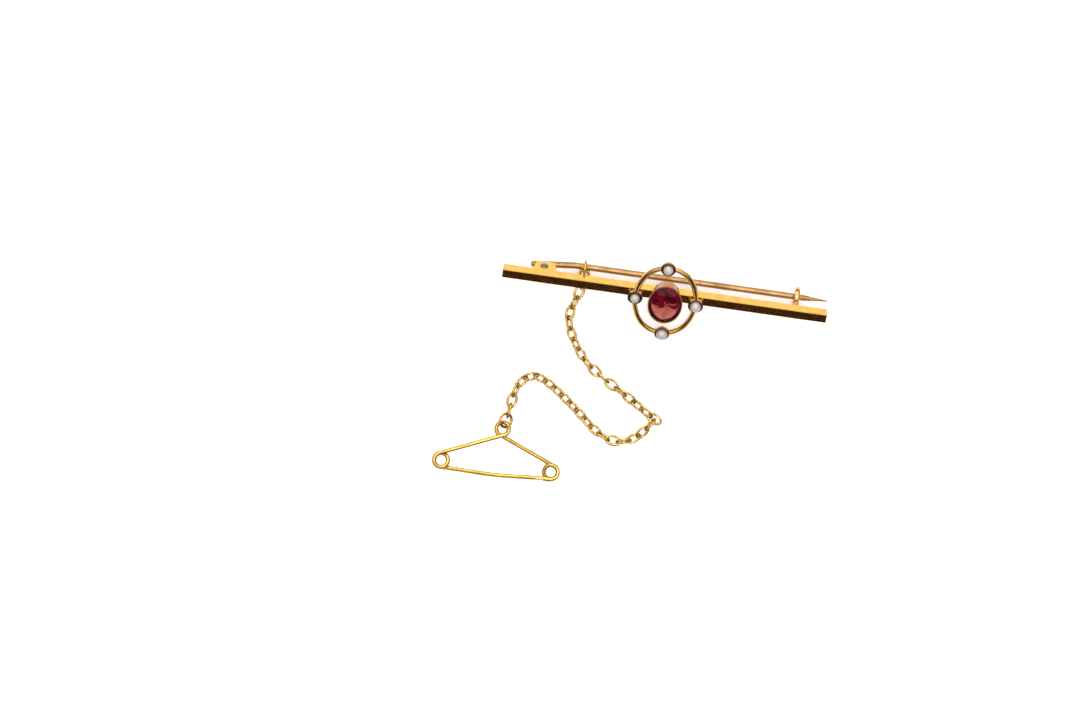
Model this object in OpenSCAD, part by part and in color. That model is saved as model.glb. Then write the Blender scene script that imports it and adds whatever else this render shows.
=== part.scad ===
// Bar brooch: a square bar with a garnet, a pearl-set ring, a hinged pin,
// a catch, and a safety chain that ends in a small safety pin.
// Millimetres. X runs along the bar and Z = 0 is the surface that it lies on.
// The brooch leans back on its lowest pearl cup and its catch.

/* [Bar] */
// Length of the bar
bar_length = 46; // [42:0.5:54]
// Height of the bar's front face
bar_height = 1.4; // [1.2:0.05:1.8]
// Depth of the bar from front to back
bar_depth = 1.46; // [1.2:0.05:1.8]
// Bevel worn onto the bar's long edges
bar_edge = 0.08; // [0.04:0.01:0.2]
// How far the brooch leans back from upright
lean = 47; // [43:1:51]

/* [Ring] */
// Width of the ring between its wire centres
ring_wide = 8.56; // [8:0.1:10]
// Height of the ring between its wire centres
ring_tall = 11.38; // [10.6:0.1:13]
// Thickness of the ring's wire
ring_wire = 0.74; // [0.6:0.02:0.9]
// Space between the bar's front and the middle of the ring's wire
ring_stand = 0.97; // [0.8:0.05:1.3]
// How far the ring and the stone sit from the middle of the bar
cluster_shift = 0.22; // [-2:0.02:2]

/* [Pearls] */
// Width of a pearl's cup
cup_width = 2.16; // [2:0.02:2.6]
// Depth of a pearl's cup
cup_depth = 0.9; // [0.8:0.05:1.2]
// Wall of a pearl's cup
cup_wall = 0.17; // [0.12:0.01:0.2]
// Depth of the hollow in the cup
cup_hollow = 0.5; // [0.4:0.02:0.6]
// How far the cup's rim stands in front of the middle of the ring's wire
cup_rise = 0.4; // [0.38:0.02:0.6]
// Width of the pearl at the right
pearl_right_width = 1.64; // [1.3:0.02:1.7]
// Width of the pearl at the top
pearl_top_width = 1.52; // [1.3:0.02:1.7]
// Width of the pearl at the left
pearl_left_width = 1.44; // [1.3:0.02:1.7]
// Width of the pearl at the bottom
pearl_bottom_width = 1.74; // [1.3:0.02:1.76]

/* [Stone] */
// Width of the collet at its rim
collet_wide = 4.85; // [4.4:0.05:5.4]
// Height of the collet at its rim
collet_tall = 6.5; // [6:0.05:7]
// Wall of the collet at its rim
collet_wall = 0.28; // [0.22:0.01:0.34]
// How far the rim stands in front of the bar
collet_stand = 1.97; // [1.8:0.05:2.3]
// Size of the collet's back end as a share of its rim
collet_taper = 0.82; // [0.76:0.01:0.9]
// How deep the stone's girdle sits under the rim
stone_set = 0.25; // [0.2:0.01:0.3]
// Height of the stone's crown
stone_crown = 0.5; // [0.4:0.02:0.7]
// Depth of the stone's pavilion
stone_pavilion = 1.4; // [1.2:0.02:1.5]
// Table of the stone as a share of its girdle
stone_table = 0.6; // [0.5:0.01:0.7]

/* [Hinge and pin] */
// Distance from the bar's left end to the rivet
hinge_inset = 5.72; // [5:0.1:8]
// Distance from the bar's back to the rivet
rivet_out = 0.76; // [0.72:0.01:0.9]
// Thickness of the rivet's shank
rivet_shank = 0.7; // [0.5:0.02:0.8]
// Width of the rivet's heads
rivet_head = 1.14; // [1:0.02:1.3]
// Thickness of each hinge plate
plate_thick = 0.3; // [0.25:0.01:0.35]
// How far the hinge plates reach behind the bar
plate_reach = 1.82; // [1.6:0.02:2]
// Length of the hinge plates along the bar
plate_length = 3.34; // [3:0.02:4]
// Thickness of the pin's wire
stem_wire = 0.91; // [0.8:0.01:0.94]
// Thickness of the pin where it passes through the catch
stem_thin = 0.82; // [0.7:0.01:0.86]
// Distance from the bar's back to the middle of the pin
stem_stand = 2.75; // [2.6:0.05:3.2]
// Length of the pin's tail beyond the rivet
tail_length = 1.92; // [1.6:0.02:2]
// Angle between the pin's hinge end and its straight part
tail_angle = 9.3; // [8:0.1:10]
// Distance along the bar from the rivet to the pin's bend
bend_reach = 4.2; // [3.8:0.1:5]
// Length of the pin's point
point_length = 3.5; // [3:0.1:5]
// How far the point reaches past the bar's end
point_over = 0.2; // [0:0.05:0.6]

/* [Catch and eyelet] */
// Distance from the bar's right end to the catch
catch_inset = 4.42; // [4:0.05:6]
// Outer width of the catch's loop
catch_loop = 2.9; // [2.8:0.02:3.2]
// Thickness of the catch's strip
catch_strip = 0.33; // [0.25:0.01:0.36]
// Width of the catch's strip along the bar
catch_width = 0.8; // [0.6:0.02:1]
// Space on each side of the pin in the catch's mouth
mouth_gap = 0.12; // [0.1:0.01:0.15]
// Distance from the bar's left end to the chain's eyelet
eyelet_inset = 11.44; // [11:0.1:14]
// Outer width of the eyelet
eyelet_width = 2; // [1.9:0.02:2.3]
// Thickness of the eyelet's wire
eyelet_wire = 0.36; // [0.3:0.01:0.4]
// How far the eyelet reaches behind the bar
eyelet_reach = 1.35; // [1.3:0.01:1.5]

/* [Chain] */
// Outer length of a link
link_length = 2.3; // [2.2:0.01:2.4]
// Outer width of a link
link_width = 1.46; // [1.42:0.01:1.6]
// Thickness of a link's wire
link_wire = 0.3; // [0.28:0.01:0.33]
// Outer width of the two jump rings
jump_width = 2.28; // [2.2:0.01:2.5]
// Thickness of the jump rings' wire
jump_wire = 0.35; // [0.3:0.01:0.38]

/* [Safety pin] */
// Distance between the middles of the two coils
pin_span = 15.6; // [15:0.1:18]
// Thickness of the safety pin's wire
pin_wire = 0.56; // [0.5:0.01:0.58]
// Width of a coil between its wire centres
coil_width = 2; // [1.9:0.02:2.3]
// Width of the top loop between its wire centres
loop_width = 1.84; // [1.8:0.01:2]
// Distance along the safety pin from its left coil to its top loop
loop_along = 8.15; // [7.5:0.05:9]
// Height of the top loop above the coils
loop_up = 5.33; // [5:0.05:6.5]

/* [Hidden] */
$fn = 48;
// Gap between pieces that are set into each other
fit_gap = 0.03;
// Least gap between two links
link_slack = 0.14;
// How far soldered pieces run into each other
solder = 0.1;
// Number of links in the chain
link_count = 37;
// Number of sides of a round wire in the drawing
wire_sides = 24;

// Places in the upright brooch: X along the bar, -Y to the front, Z up
bar_front = -bar_depth / 2;
bar_back = bar_depth / 2;
ring_y = bar_front - ring_stand;
cup_front = ring_y - cup_rise;
cup_back = cup_front + cup_depth;
// Depth of a pearl's middle behind the rim of its cup
pearl_sink = 0.07;
// Width of the posts under the cups at the left and right
post_width = 0.8 * bar_height;
// Where each cup sits round the ring: right, top, left and bottom
cup_angles = [0, 94, 180, 273.5];
pearl_widths = [pearl_right_width, pearl_top_width, pearl_left_width, pearl_bottom_width];
rim_y = bar_front - collet_stand;
girdle_y = rim_y + stone_set;
stone_wide = collet_wide - 2 * (collet_wall + fit_gap);
stone_tall = collet_tall - 2 * (collet_wall + fit_gap);
// Thickness of the stone's girdle
girdle = 0.08;
hinge_x = hinge_inset - bar_length / 2;
hinge_y = bar_back + rivet_out;
catch_x = bar_length / 2 - catch_inset;
stem_y = bar_back + stem_stand;
bend_x = hinge_x + bend_reach;
tip_x = bar_length / 2 + point_over;
point_x = tip_x - point_length;
// The pin starts to thin a little before the catch
thin_x = catch_x - 2 * stem_wire;
// Middle of the catch's loop: nearer the bar than the pin, and higher
catch_shift = 0.23;
catch_y = stem_y - catch_shift;
catch_z = 0.19;
// Bottom and height of the catch's foot on the bar
foot_z = -0.35;
foot_tall = 0.6;
// Outline of a hinge plate behind the bar, as shares of its length and its reach
plate_outline = [[0.533, 0], [0.42, 1], [-0.27, 1], [-0.33, 0.9], [-0.467, 0]];
// The pin is filed flat this share of a plate's length past the rivet
flat_share = 0.6;
// How far the pin swells at its bend
bend_swell = 0.03;
// Play on each side of the pin between the hinge plates
hinge_play = 0.06;
// Gap between the pin's eye and the bar
eye_gap = 0.12;
// Play under each head of the rivet, and the height of a head
rivet_play = 0.02;
rivet_rise = 0.2;
eyelet_x = eyelet_inset - bar_length / 2;
eyelet_z = (bar_height - eyelet_wire) / 2 - bar_edge;
eyelet_bow = bar_back + eyelet_reach - eyelet_wire / 2;

// Height of the bar's middle, with the lowest cup and the catch on the surface
function lie_height(y, z) = z * cos(lean) - y * sin(lean);
function lie_depth(y, z) = y * cos(lean) + z * sin(lean);
cup_low = lie_height(cup_back, -(ring_tall + cup_width) / 2);
catch_low = lie_height(catch_y, catch_z) - catch_loop / 2;
bar_z = -min(cup_low, catch_low);

// The jump ring through the eyelet, and the lowest point of its wire
jump_mean = (jump_width - jump_wire) / 2;
jump_hang = jump_mean - (jump_wire + eyelet_wire) / 2 - link_slack;
jump_turn = 74;
jump_y = eyelet_bow + jump_hang * cos(jump_turn);
jump_z = eyelet_z + jump_hang * sin(jump_turn);
jump_middle = [eyelet_x, lie_depth(jump_y, jump_z), bar_z + lie_height(jump_y, jump_z)];

// The chain's joints lie one link apart on a smooth route through chosen points.
// Each point gives X and Y from the bar's middle, and the rise above lying links.
half_long = (link_length - link_wire) / 2;
half_wide = (link_width - link_wire) / 2;
// Steps between joints where the chain is drawn out, and where it lies slack
tight_step = 2 * half_long - link_wire - link_slack;
loose_step = tight_step - 0.04;
// Gap between the chain and the surface
floor_gap = 0.02;
// The first link hangs loosely through the eyelet's ring, behind the eyelet's bow
// It leans on the ring's wire, a little behind and below the ring's middle
first_slope = 46;
first_hang = [0, 0.1, -0.25];
second_hang = [0, 0.04, -0.01];
first_way = [0, -cos(first_slope), -sin(first_slope)];
first_end = jump_middle + first_hang;
first_reach = 2 * half_long - (link_wire + link_slack) / 2;
second_joint = first_end + first_reach * first_way + second_hang;
route_out = [
    [-11.7, -0.6, 0.1], [-12.1, -2, 0], [-12.6, -3.4, 0], [-12.9, -4.6, 0], [-12.6, -6.2, 0],
    [-11.2, -8.9, 0], [-9.2, -11.2, 0], [-6.6, -13, 0], [-3.9, -14.5, 0], [-1.3, -16.1, 0],
    [0.6, -17.3, 0], [2.3, -18.4, 0]
];
// One link lies out at the sharp turn, with both of its neighbours hooked into its left end.
// Their joints are given along it and across it from its middle.
turn_link = 17;
turn_heading = -21.7;
turn_dip = 6.2;
turn_roll = -7;
turn_drop = 0.085;
turn_in = [-0.73, 0.07];
turn_out = [0.01, -0.25];
route_back = [
    [0.1, -19.2, 0], [-1.6, -20.9, 0], [-4.3, -21.5, 0], [-7, -20.3, 0], [-9.5, -18.2, 0],
    [-13.2, -15.4, 0], [-15.6, -14, 0], [-16.9, -13.9, 0], [-18.1, -14.7, 0],
    [-18.9, -16.2, 0], [-19.3, -18.8, 0], [-19.7, -22, 0]
];
// How far the links are turned about the chain, by the link's number
twists = [
    [0, 45], [1, 45], [3, 15], [8, 10], [11, 45], [16, 102],
    [18, 116], [21, 60], [24, 5], [33, -5], [36, -55]
];

// The end ring and the safety pin's place
end_heading = -103;
end_tilt = 36;
// Gap between the end ring and the safety pin's loop
loop_slack = 0.16;
loop_mean = loop_width / 2;
coil_mean = coil_width / 2;
pin_heading = 1.7;
pin_low = pin_wire / 2;
// Heights of the wire where it crosses over itself at a coil and at the loop
coil_air = 0.08;
loop_air = 0.18;
pin_high = pin_low + pin_wire + coil_air;
loop_high = pin_low + pin_wire + loop_air;
// How far the point's arm bows out, and how far it goes into the cap
arm_bow = 0.25;
tip_in_cap = 0.3;
// Width of the wire at its point, and the length of its taper
tip_width = 0.26;
tip_taper = 1.8;
cap_length = 1;
cap_over = 0.15;
cap_width = 0.7;
cap_wall = 0.08;

function link_name(i) = str("chain_link_", i < 10 ? "0" : "", i);

function unit(v) = v / norm(v);
function clamp(v, low, high) = max(low, min(high, v));
function turned(p, a) = [p.x * cos(a) - p.y * sin(a), p.x * sin(a) + p.y * cos(a)];

// Sizes of an oval of four arcs: radius of its ends, radius of its sides, half angle of its sides
function end_radius(a, b) = (b * b / a + b) / 2;
function side_radius(a, b) = (a * a + b * b - 2 * a * end_radius(a, b)) / (2 * (b - end_radius(a, b)));
function side_angle(a, b) = atan((a - end_radius(a, b)) / (side_radius(a, b) - b));

// A wire bent to an oval that is long in X, from its wire centres, with a ball over each joint of its arcs
module oval_wire(long, wide, wire) {
    a = long / 2;
    b = wide / 2;
    r_end = end_radius(a, b);
    r_side = side_radius(a, b);
    half = side_angle(a, b);
    for (side = [0, 180])
        rotate(side) {
            translate([a - r_end, 0, 0])
                rotate(half - 90)
                    rotate_extrude(angle = 180 - 2 * half)
                        translate([r_end, 0])
                            circle(d = wire, $fn = wire_sides);
            translate([0, b - r_side, 0])
                rotate(90 - half)
                    rotate_extrude(angle = 2 * half)
                        translate([r_side, 0])
                            circle(d = wire, $fn = wire_sides);
            for (end = [-1, 1])
                translate([a - r_end + r_end * sin(half), end * r_end * cos(half), 0])
                    sphere(d = wire + 0.02, $fn = wire_sides);
        }
}

// A wire link with two straight sides, long in X
module link_wire_loop(long, wide, wire) {
    straight = long - wide;
    for (side = [0, 180])
        rotate(side) {
            translate([straight / 2, 0, 0])
                rotate(-90)
                    rotate_extrude(angle = 180)
                        translate([wide / 2, 0])
                            circle(d = wire, $fn = wire_sides);
            translate([-straight / 2, wide / 2, 0])
                rotate([0, 90, 0])
                    cylinder(d = wire, h = straight, $fn = wire_sides);
        }
}

// A round wire ring about Z
module round_wire(middle_radius, wire) {
    rotate_extrude()
        translate([middle_radius, 0])
            circle(d = wire, $fn = wire_sides);
}

// A closed wall through ovals that face the front, given as [width, height, y]
module oval_wall(rings, sides = 40) {
    points = [
        for (ring = rings)
            for (k = [0 : sides - 1])
                [ring[0] / 2 * cos(k * 360 / sides), ring[2], ring[1] / 2 * sin(k * 360 / sides)]
    ];
    count = len(rings);
    faces = [
        for (i = [0 : count - 1])
            for (k = [0 : sides - 1])
                let (j = (i + 1) % count, m = (k + 1) % sides)
                [i * sides + m, i * sides + k, j * sides + k, j * sides + m]
    ];
    polyhedron(points, faces, convexity = 4);
}

// A wire along a path, with a radius for each point of the path
module swept_wire(path, radii, sides = 8) {
    last = len(path) - 1;
    points = [
        for (i = [0 : last])
            let (
                ahead = unit(path[min(i + 1, last)] - path[max(i - 1, 0)]),
                across = unit(cross(ahead, [0, 0, 1])),
                above = cross(across, ahead)
            )
            for (k = [0 : sides - 1])
                path[i] + radii[i] * (cos(k * 360 / sides) * across + sin(k * 360 / sides) * above)
    ];
    walls = [
        for (i = [0 : last - 1])
            for (k = [0 : sides - 1])
                let (m = (k + 1) % sides)
                [i * sides + m, (i + 1) * sides + m, (i + 1) * sides + k, i * sides + k]
    ];
    start = [for (k = [sides - 1 : -1 : 0]) k];
    finish = [for (k = [0 : sides - 1]) last * sides + k];
    polyhedron(points, concat(walls, [start, finish]), convexity = 8);
}

// Places of the four cups on the ring
function cup_place(i) = [
    cluster_shift + ring_wide / 2 * cos(cup_angles[i]),
    ring_tall / 2 * sin(cup_angles[i])
];

module at_cup(i, y) {
    translate([cup_place(i).x, y, cup_place(i).y])
        children();
}

// Turned so that a cylinder or an extrusion runs to the front
module to_front() {
    rotate([90, 0, 0])
        children();
}

// Turned so that a flat outline in Y and Z is drawn out along X
module along_bar() {
    rotate([90, 0, 90])
        children();
}

module bar() {
    deep = bar_depth / 2;
    high = bar_height / 2;
    translate([-bar_length / 2, 0, 0])
        along_bar()
            linear_extrude(bar_length)
                polygon([
                    [deep - bar_edge, -high], [deep, bar_edge - high],
                    [deep, high - bar_edge], [deep - bar_edge, high],
                    [bar_edge - deep, high], [-deep, high - bar_edge],
                    [-deep, bar_edge - high], [bar_edge - deep, -high]
                ]);
}

module ring_and_cups() {
    translate([cluster_shift, ring_y, 0])
        to_front()
            rotate(90)
                oval_wire(ring_tall, ring_wide, ring_wire);
    for (i = [0 : 3])
        at_cup(i, cup_back)
            to_front()
                cylinder(d = cup_width, h = cup_depth);
    // The cups at the left and right stand on the bar
    for (i = [0, 2])
        at_cup(i, bar_front + solder)
            to_front()
                cylinder(d = post_width, h = bar_front + 2 * solder - cup_back);
}

module cup_hollows() {
    for (i = [0 : 3])
        at_cup(i, cup_front + cup_hollow)
            to_front()
                cylinder(d = cup_width - 2 * cup_wall, h = cup_hollow + cup_rise + ring_wire);
}

module collet() {
    back = bar_front + solder;
    back_wall = collet_wall * 0.9;
    // The stone rests just above a ledge that narrows the collet
    ledge_y = girdle_y + girdle + 0.1;
    ledge = 0.95;
    translate([cluster_shift, 0, 0])
        oval_wall([
            [collet_wide * collet_taper, collet_tall * collet_taper, back],
            [collet_wide, collet_tall, rim_y],
            [collet_wide - 2 * collet_wall, collet_tall - 2 * collet_wall, rim_y],
            [collet_wide - 2 * collet_wall, collet_tall - 2 * collet_wall, girdle_y + girdle],
            [stone_wide * ledge, stone_tall * ledge, ledge_y],
            [collet_wide * collet_taper - 2 * back_wall, collet_tall * collet_taper - 2 * back_wall, back]
        ]);
}

module hinge_plates() {
    outline = [for (share = plate_outline) [share.x * plate_length, bar_back + share.y * plate_reach]];
    soldered = [[outline[4].x, bar_back - solder], [outline[0].x, bar_back - solder]];
    for (side = [-1, 1])
        translate([hinge_x, 0, side * (bar_height - plate_thick) / 2 - plate_thick / 2])
            linear_extrude(plate_thick)
                polygon(concat(soldered, outline));
}

module catch() {
    foot = catch_y - catch_loop / 2 + catch_strip / 2;
    mouth = stem_wire / 2 + mouth_gap;
    translate([catch_x - catch_width / 2, 0, 0])
        along_bar()
            linear_extrude(catch_width)
                difference() {
                    union() {
                        translate([catch_y, catch_z])
                            circle(d = catch_loop);
                        translate([bar_back - solder, foot_z])
                            square([foot - bar_back + solder, foot_tall]);
                    }
                    translate([catch_y, catch_z])
                        circle(d = catch_loop - 2 * catch_strip);
                    translate([catch_y, -mouth])
                        square([catch_loop, 2 * mouth]);
                }
}

module eyelet() {
    mean = (eyelet_width - eyelet_wire) / 2;
    bow_y = eyelet_bow - mean;
    translate([eyelet_x, bow_y, eyelet_z])
        rotate_extrude(angle = 180)
            translate([mean, 0])
                circle(d = eyelet_wire, $fn = wire_sides);
    for (side = [-1, 1])
        translate([eyelet_x + side * mean, bow_y, eyelet_z])
            to_front()
                cylinder(d = eyelet_wire, h = bow_y - bar_back + solder, $fn = wire_sides);
}

// A rivet with a low domed head at each end
module rivet_shape(shank, head, play, rise) {
    cylinder(d = shank, h = bar_height + 2 * play + rise, center = true);
    for (side = [0, 180])
        rotate([side, 0, 0])
            translate([0, 0, bar_height / 2 + play])
                intersection() {
                    cylinder(d = head, h = head);
                    translate([0, 0, rise - head])
                        sphere(r = head);
                }
}

// A coil's wire rises over itself after half a turn, a little faster than it goes round
rise_rate = 1.1;
function coil_rise(around) =
    pin_low + (pin_high - pin_low) * (1 - cos(clamp((around - 180) * rise_rate, 0, 180))) / 2;
function loop_rise(polar) = pin_low + (loop_high - pin_low) * (1 + cos(clamp(polar, 0, 180))) / 2;
function round_point(mid, radius, polar) = mid + radius * [cos(polar), sin(polar)];
function bearing(p) = atan2(p.y, p.x);

// Straight arms touch the coils and the loop, which are wound opposite ways
left_coil = [0, 0];
right_coil = [pin_span, 0];
top_loop = [loop_along, loop_up];
left_arm = bearing(top_loop) - asin((coil_mean + loop_mean) / norm(top_loop));
right_arm = bearing(right_coil - top_loop) + asin((coil_mean + loop_mean) / norm(right_coil - top_loop));

function tip_arm(steps = 14) = [
    for (k = [0 : steps - 1])
        let (t = k / steps, start = pin_span - tip_in_cap)
        [
            start * (1 - t),
            -coil_mean - arm_bow * (1 - cos(360 * t)) / 2,
            pin_high + (pin_low - pin_high) * t
        ]
];
function tip_radii(steps = 14) = [
    for (k = [0 : steps - 1])
        let (t = k / steps, along = t * pin_span)
        tip_width / 2 + (pin_wire - tip_width) / 2 * clamp(along / tip_taper, 0, 1)
];
function left_turns(steps = 26) = [
    for (k = [0 : steps])
        let (around = k / steps * (540 - left_arm), p = round_point(left_coil, coil_mean, -90 - around))
        [p.x, p.y, coil_rise(around)]
];
function top_turns(steps = 20) = [
    for (k = [0 : steps])
        let (
            polar = left_arm - 90 + k / steps * (360 + right_arm - left_arm),
            p = round_point(top_loop, loop_mean, polar)
        )
        [p.x, p.y, loop_rise(polar)]
];
function right_turns(steps = 26) = [
    for (k = [0 : steps])
        let (
            around = k / steps * (540 + right_arm),
            p = round_point(right_coil, coil_mean, right_arm + 90 - around)
        )
        [p.x, p.y, coil_rise(around)]
];

module safety_pin_wire() {
    path = concat(tip_arm(), left_turns(), top_turns(), right_turns());
    taper = tip_radii();
    radii = concat(taper, [for (k = [len(taper) : len(path) - 1]) pin_wire / 2]);
    swept_wire(path, radii);
    // The cap holds the point, with room round it
    translate([pin_span - cap_length, -coil_mean, pin_high])
        rotate([0, 90, 0])
            difference() {
                cylinder(d = cap_width, h = cap_length + cap_over);
                translate([0, 0, -cap_length])
                    cylinder(d = cap_width - 2 * cap_wall, h = 1.8 * cap_length);
            }
}

// The chain's joints lie half way between the wires of two links, one step apart on a smooth route
function twist(i) = lookup(i, twists);
function link_turn(i) = i == turn_link ? turn_roll : (i % 2 == 0 ? -45 : 45) + twist(i);
function link_lie(i) = link_wire / 2 + half_wide * abs(sin(link_turn(i))) + floor_gap;
function joint_lie(j) = max(link_lie(max(j - 1, 0)), link_lie(min(j, link_count - 1)));

function smooth(p0, p1, p2, p3, t) =
    0.5 * (2 * p1 + (p2 - p0) * t + (2 * p0 - 5 * p1 + 4 * p2 - p3) * t * t
        + (3 * p1 - p0 - 3 * p2 + p3) * t * t * t);
function sampled(points, steps = 10) = [
    for (i = [0 : len(points) - 2])
        for (k = [0 : steps - 1])
            smooth(
                points[max(i - 1, 0)],
                points[i],
                points[i + 1],
                points[min(i + 2, len(points) - 1)],
                k / steps
            )
];
function reached(line, j, here, step) =
    j >= len(line) - 1 || norm(line[j] - here) >= step ? j : reached(line, j + 1, here, step);
function walk(line, j, here, step, left) =
    left == 0 ? [here] :
    let (
        k = reached(line, j, here, step),
        near = norm(line[k - 1] - here),
        far = norm(line[k] - here),
        next = line[k - 1] + (line[k] - line[k - 1]) * (step - near) / (far - near)
    )
    concat([here], walk(line, k, next, step, left - 1));
// Joints from a first joint along a route, raised to where their links lie
function joints_along(first, number, route, step, links) =
    let (
        start = [first.x, first.y, first.z - joint_lie(number)],
        flat = walk(sampled(concat([start], route)), 1, start, step, links)
    )
    [for (j = [0 : links]) flat[j] + [0, 0, joint_lie(number + j)]];

out_joints = joints_along(second_joint, 1, route_out, tight_step, turn_link - 1);
turn_joint = out_joints[turn_link - 1];
turn_flat = [turn_joint.x, turn_joint.y] - turned(turn_in, turn_heading);
turn_middle = [turn_flat.x, turn_flat.y, turn_joint.z - turn_drop];
back_flat = turn_flat + turned(turn_out, turn_heading);
back_first = [back_flat.x, back_flat.y, joint_lie(turn_link + 1)];
back_links = link_count - turn_link - 1;
back_joints = joints_along(back_first, turn_link + 1, route_back, loose_step, back_links);

// Each link's middle, its heading and its rise
function middle_pose(a, b) =
    let (way = b - a) [(a + b) / 2, bearing(way), atan2(way.z, norm([way.x, way.y]))];
link_poses = [
    for (i = [0 : link_count - 1])
        i == 0 ? [first_end + first_way * half_long, -90, -first_slope]
        : i < turn_link ? middle_pose(out_joints[i - 1], out_joints[i])
        : i == turn_link ? [turn_middle, turn_heading, -turn_dip]
        : middle_pose(back_joints[i - turn_link - 1], back_joints[i - turn_link])
];

// The end ring hangs on the last joint, and the safety pin on the end ring
end_reach = jump_mean - (jump_wire + link_slack) / 2;
end_way = [cos(end_heading), sin(end_heading)];
end_z = jump_wire / 2 + jump_mean * sin(end_tilt) + floor_gap;
last_joint = back_joints[back_links];
end_middle = [last_joint.x + end_reach * end_way.x, last_joint.y + end_reach * end_way.y, end_z];
loop_reach = jump_mean + loop_mean - (jump_wire + pin_wire) / 2 - loop_slack;
loop_place = [end_middle.x, end_middle.y] + loop_reach * end_way;
pin_place = loop_place - turned(top_loop, pin_heading);
right_coil_place = pin_place + turned(right_coil, pin_heading);

// The origin is under the middle of the whole piece
coil_outer = coil_mean + pin_wire / 2;
low_x = pin_place.x - coil_outer;
high_x = max(tip_x, bar_length / 2);
low_y = min(pin_place.y, right_coil_place.y) - coil_outer;
high_y = lie_depth(catch_y, catch_z) + catch_loop / 2;
middle = [(low_x + high_x) / 2, (low_y + high_y) / 2, 0];

module lying() {
    translate(-middle)
        children();
}

module leaning() {
    translate([0, 0, bar_z] - middle)
        rotate([-lean, 0, 0])
            children();
}

module brooch_frame() {
    color([0.82, 0.6, 0.26])
        leaning()
            difference() {
                union() {
                    bar();
                    ring_and_cups();
                    collet();
                    hinge_plates();
                    catch();
                    eyelet();
                }
                cup_hollows();
                translate([hinge_x, hinge_y, 0])
                    cylinder(d = rivet_shank + 2 * fit_gap, h = 2 * bar_height, center = true);
            }
}

// Oval stone with a table, star, kite and girdle facets over a pointed pavilion
module garnet() {
    function at(share, angle, y) = [
        stone_wide / 2 * share * cos(angle), y, stone_tall / 2 * share * sin(angle)
    ];
    low_girdle = girdle_y + girdle;
    // Sizes of the rows of corners between table and girdle, and between girdle and point
    kite = (1 + stone_table) / 2 + 0.02;
    belly_share = 0.42;
    table = [for (i = [0 : 7]) at(stone_table, 45 * i + 22.5, girdle_y - stone_crown)];
    crown = [for (i = [0 : 7]) at(kite, 45 * i, girdle_y - 0.6 * stone_crown)];
    upper = [for (k = [0 : 15]) at(1, 22.5 * k, girdle_y)];
    lower = [for (k = [0 : 15]) at(1, 22.5 * k, low_girdle)];
    belly = [for (i = [0 : 7]) at(belly_share, 45 * i + 22.5, low_girdle + 0.66 * stone_pavilion)];
    point = [[0, low_girdle + stone_pavilion, 0]];
    // Numbers of the first point in each row
    c = 8;
    u = 16;
    l = 32;
    b = 48;
    p = 56;
    faces = concat(
        [[for (i = [7 : -1 : 0]) i]],
        [for (i = [0 : 7]) let (n = (i + 1) % 8) [n, c + n, i]],
        [for (i = [0 : 7]) [u + 2 * i + 1, c + i, i]],
        [for (i = [0 : 7]) let (n = (i + 1) % 8) [c + n, u + 2 * i + 1, i]],
        [for (i = [0 : 7]) [u + 2 * i + 1, u + 2 * i, c + i]],
        [for (i = [0 : 7]) [u + 2 * i, u + (2 * i + 15) % 16, c + i]],
        [for (k = [0 : 15]) let (n = (k + 1) % 16) [u + n, l + n, l + k, u + k]],
        [for (i = [0 : 7]) [l + 2 * i + 1, b + i, l + 2 * i]],
        [for (i = [0 : 7]) [l + (2 * i + 2) % 16, b + i, l + 2 * i + 1]],
        [for (i = [0 : 7]) let (n = (i + 1) % 8) [b + n, b + i, l + (2 * i + 2) % 16]],
        [for (i = [0 : 7]) let (n = (i + 1) % 8) [b + n, p, b + i]]
    );
    color([0.45, 0.04, 0.08])
        leaning()
            translate([cluster_shift, 0, 0])
                polyhedron(concat(table, crown, upper, lower, belly, point), faces, convexity = 2);
}

// A pearl with a flat back, seated in its cup
module pearl(i) {
    flat = cup_hollow - pearl_sink - fit_gap;
    color([0.93, 0.88, 0.84])
        leaning()
            at_cup(i, cup_front + pearl_sink)
                difference() {
                    sphere(d = pearl_widths[i]);
                    translate([-cup_width, flat, -cup_width])
                        cube(2 * cup_width);
                }
}

module hinge_rivet() {
    color([0.5, 0.45, 0.38])
        leaning()
            translate([hinge_x, hinge_y, 0])
                rivet_shape(rivet_shank, rivet_head, rivet_play, rivet_rise);
}

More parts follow.
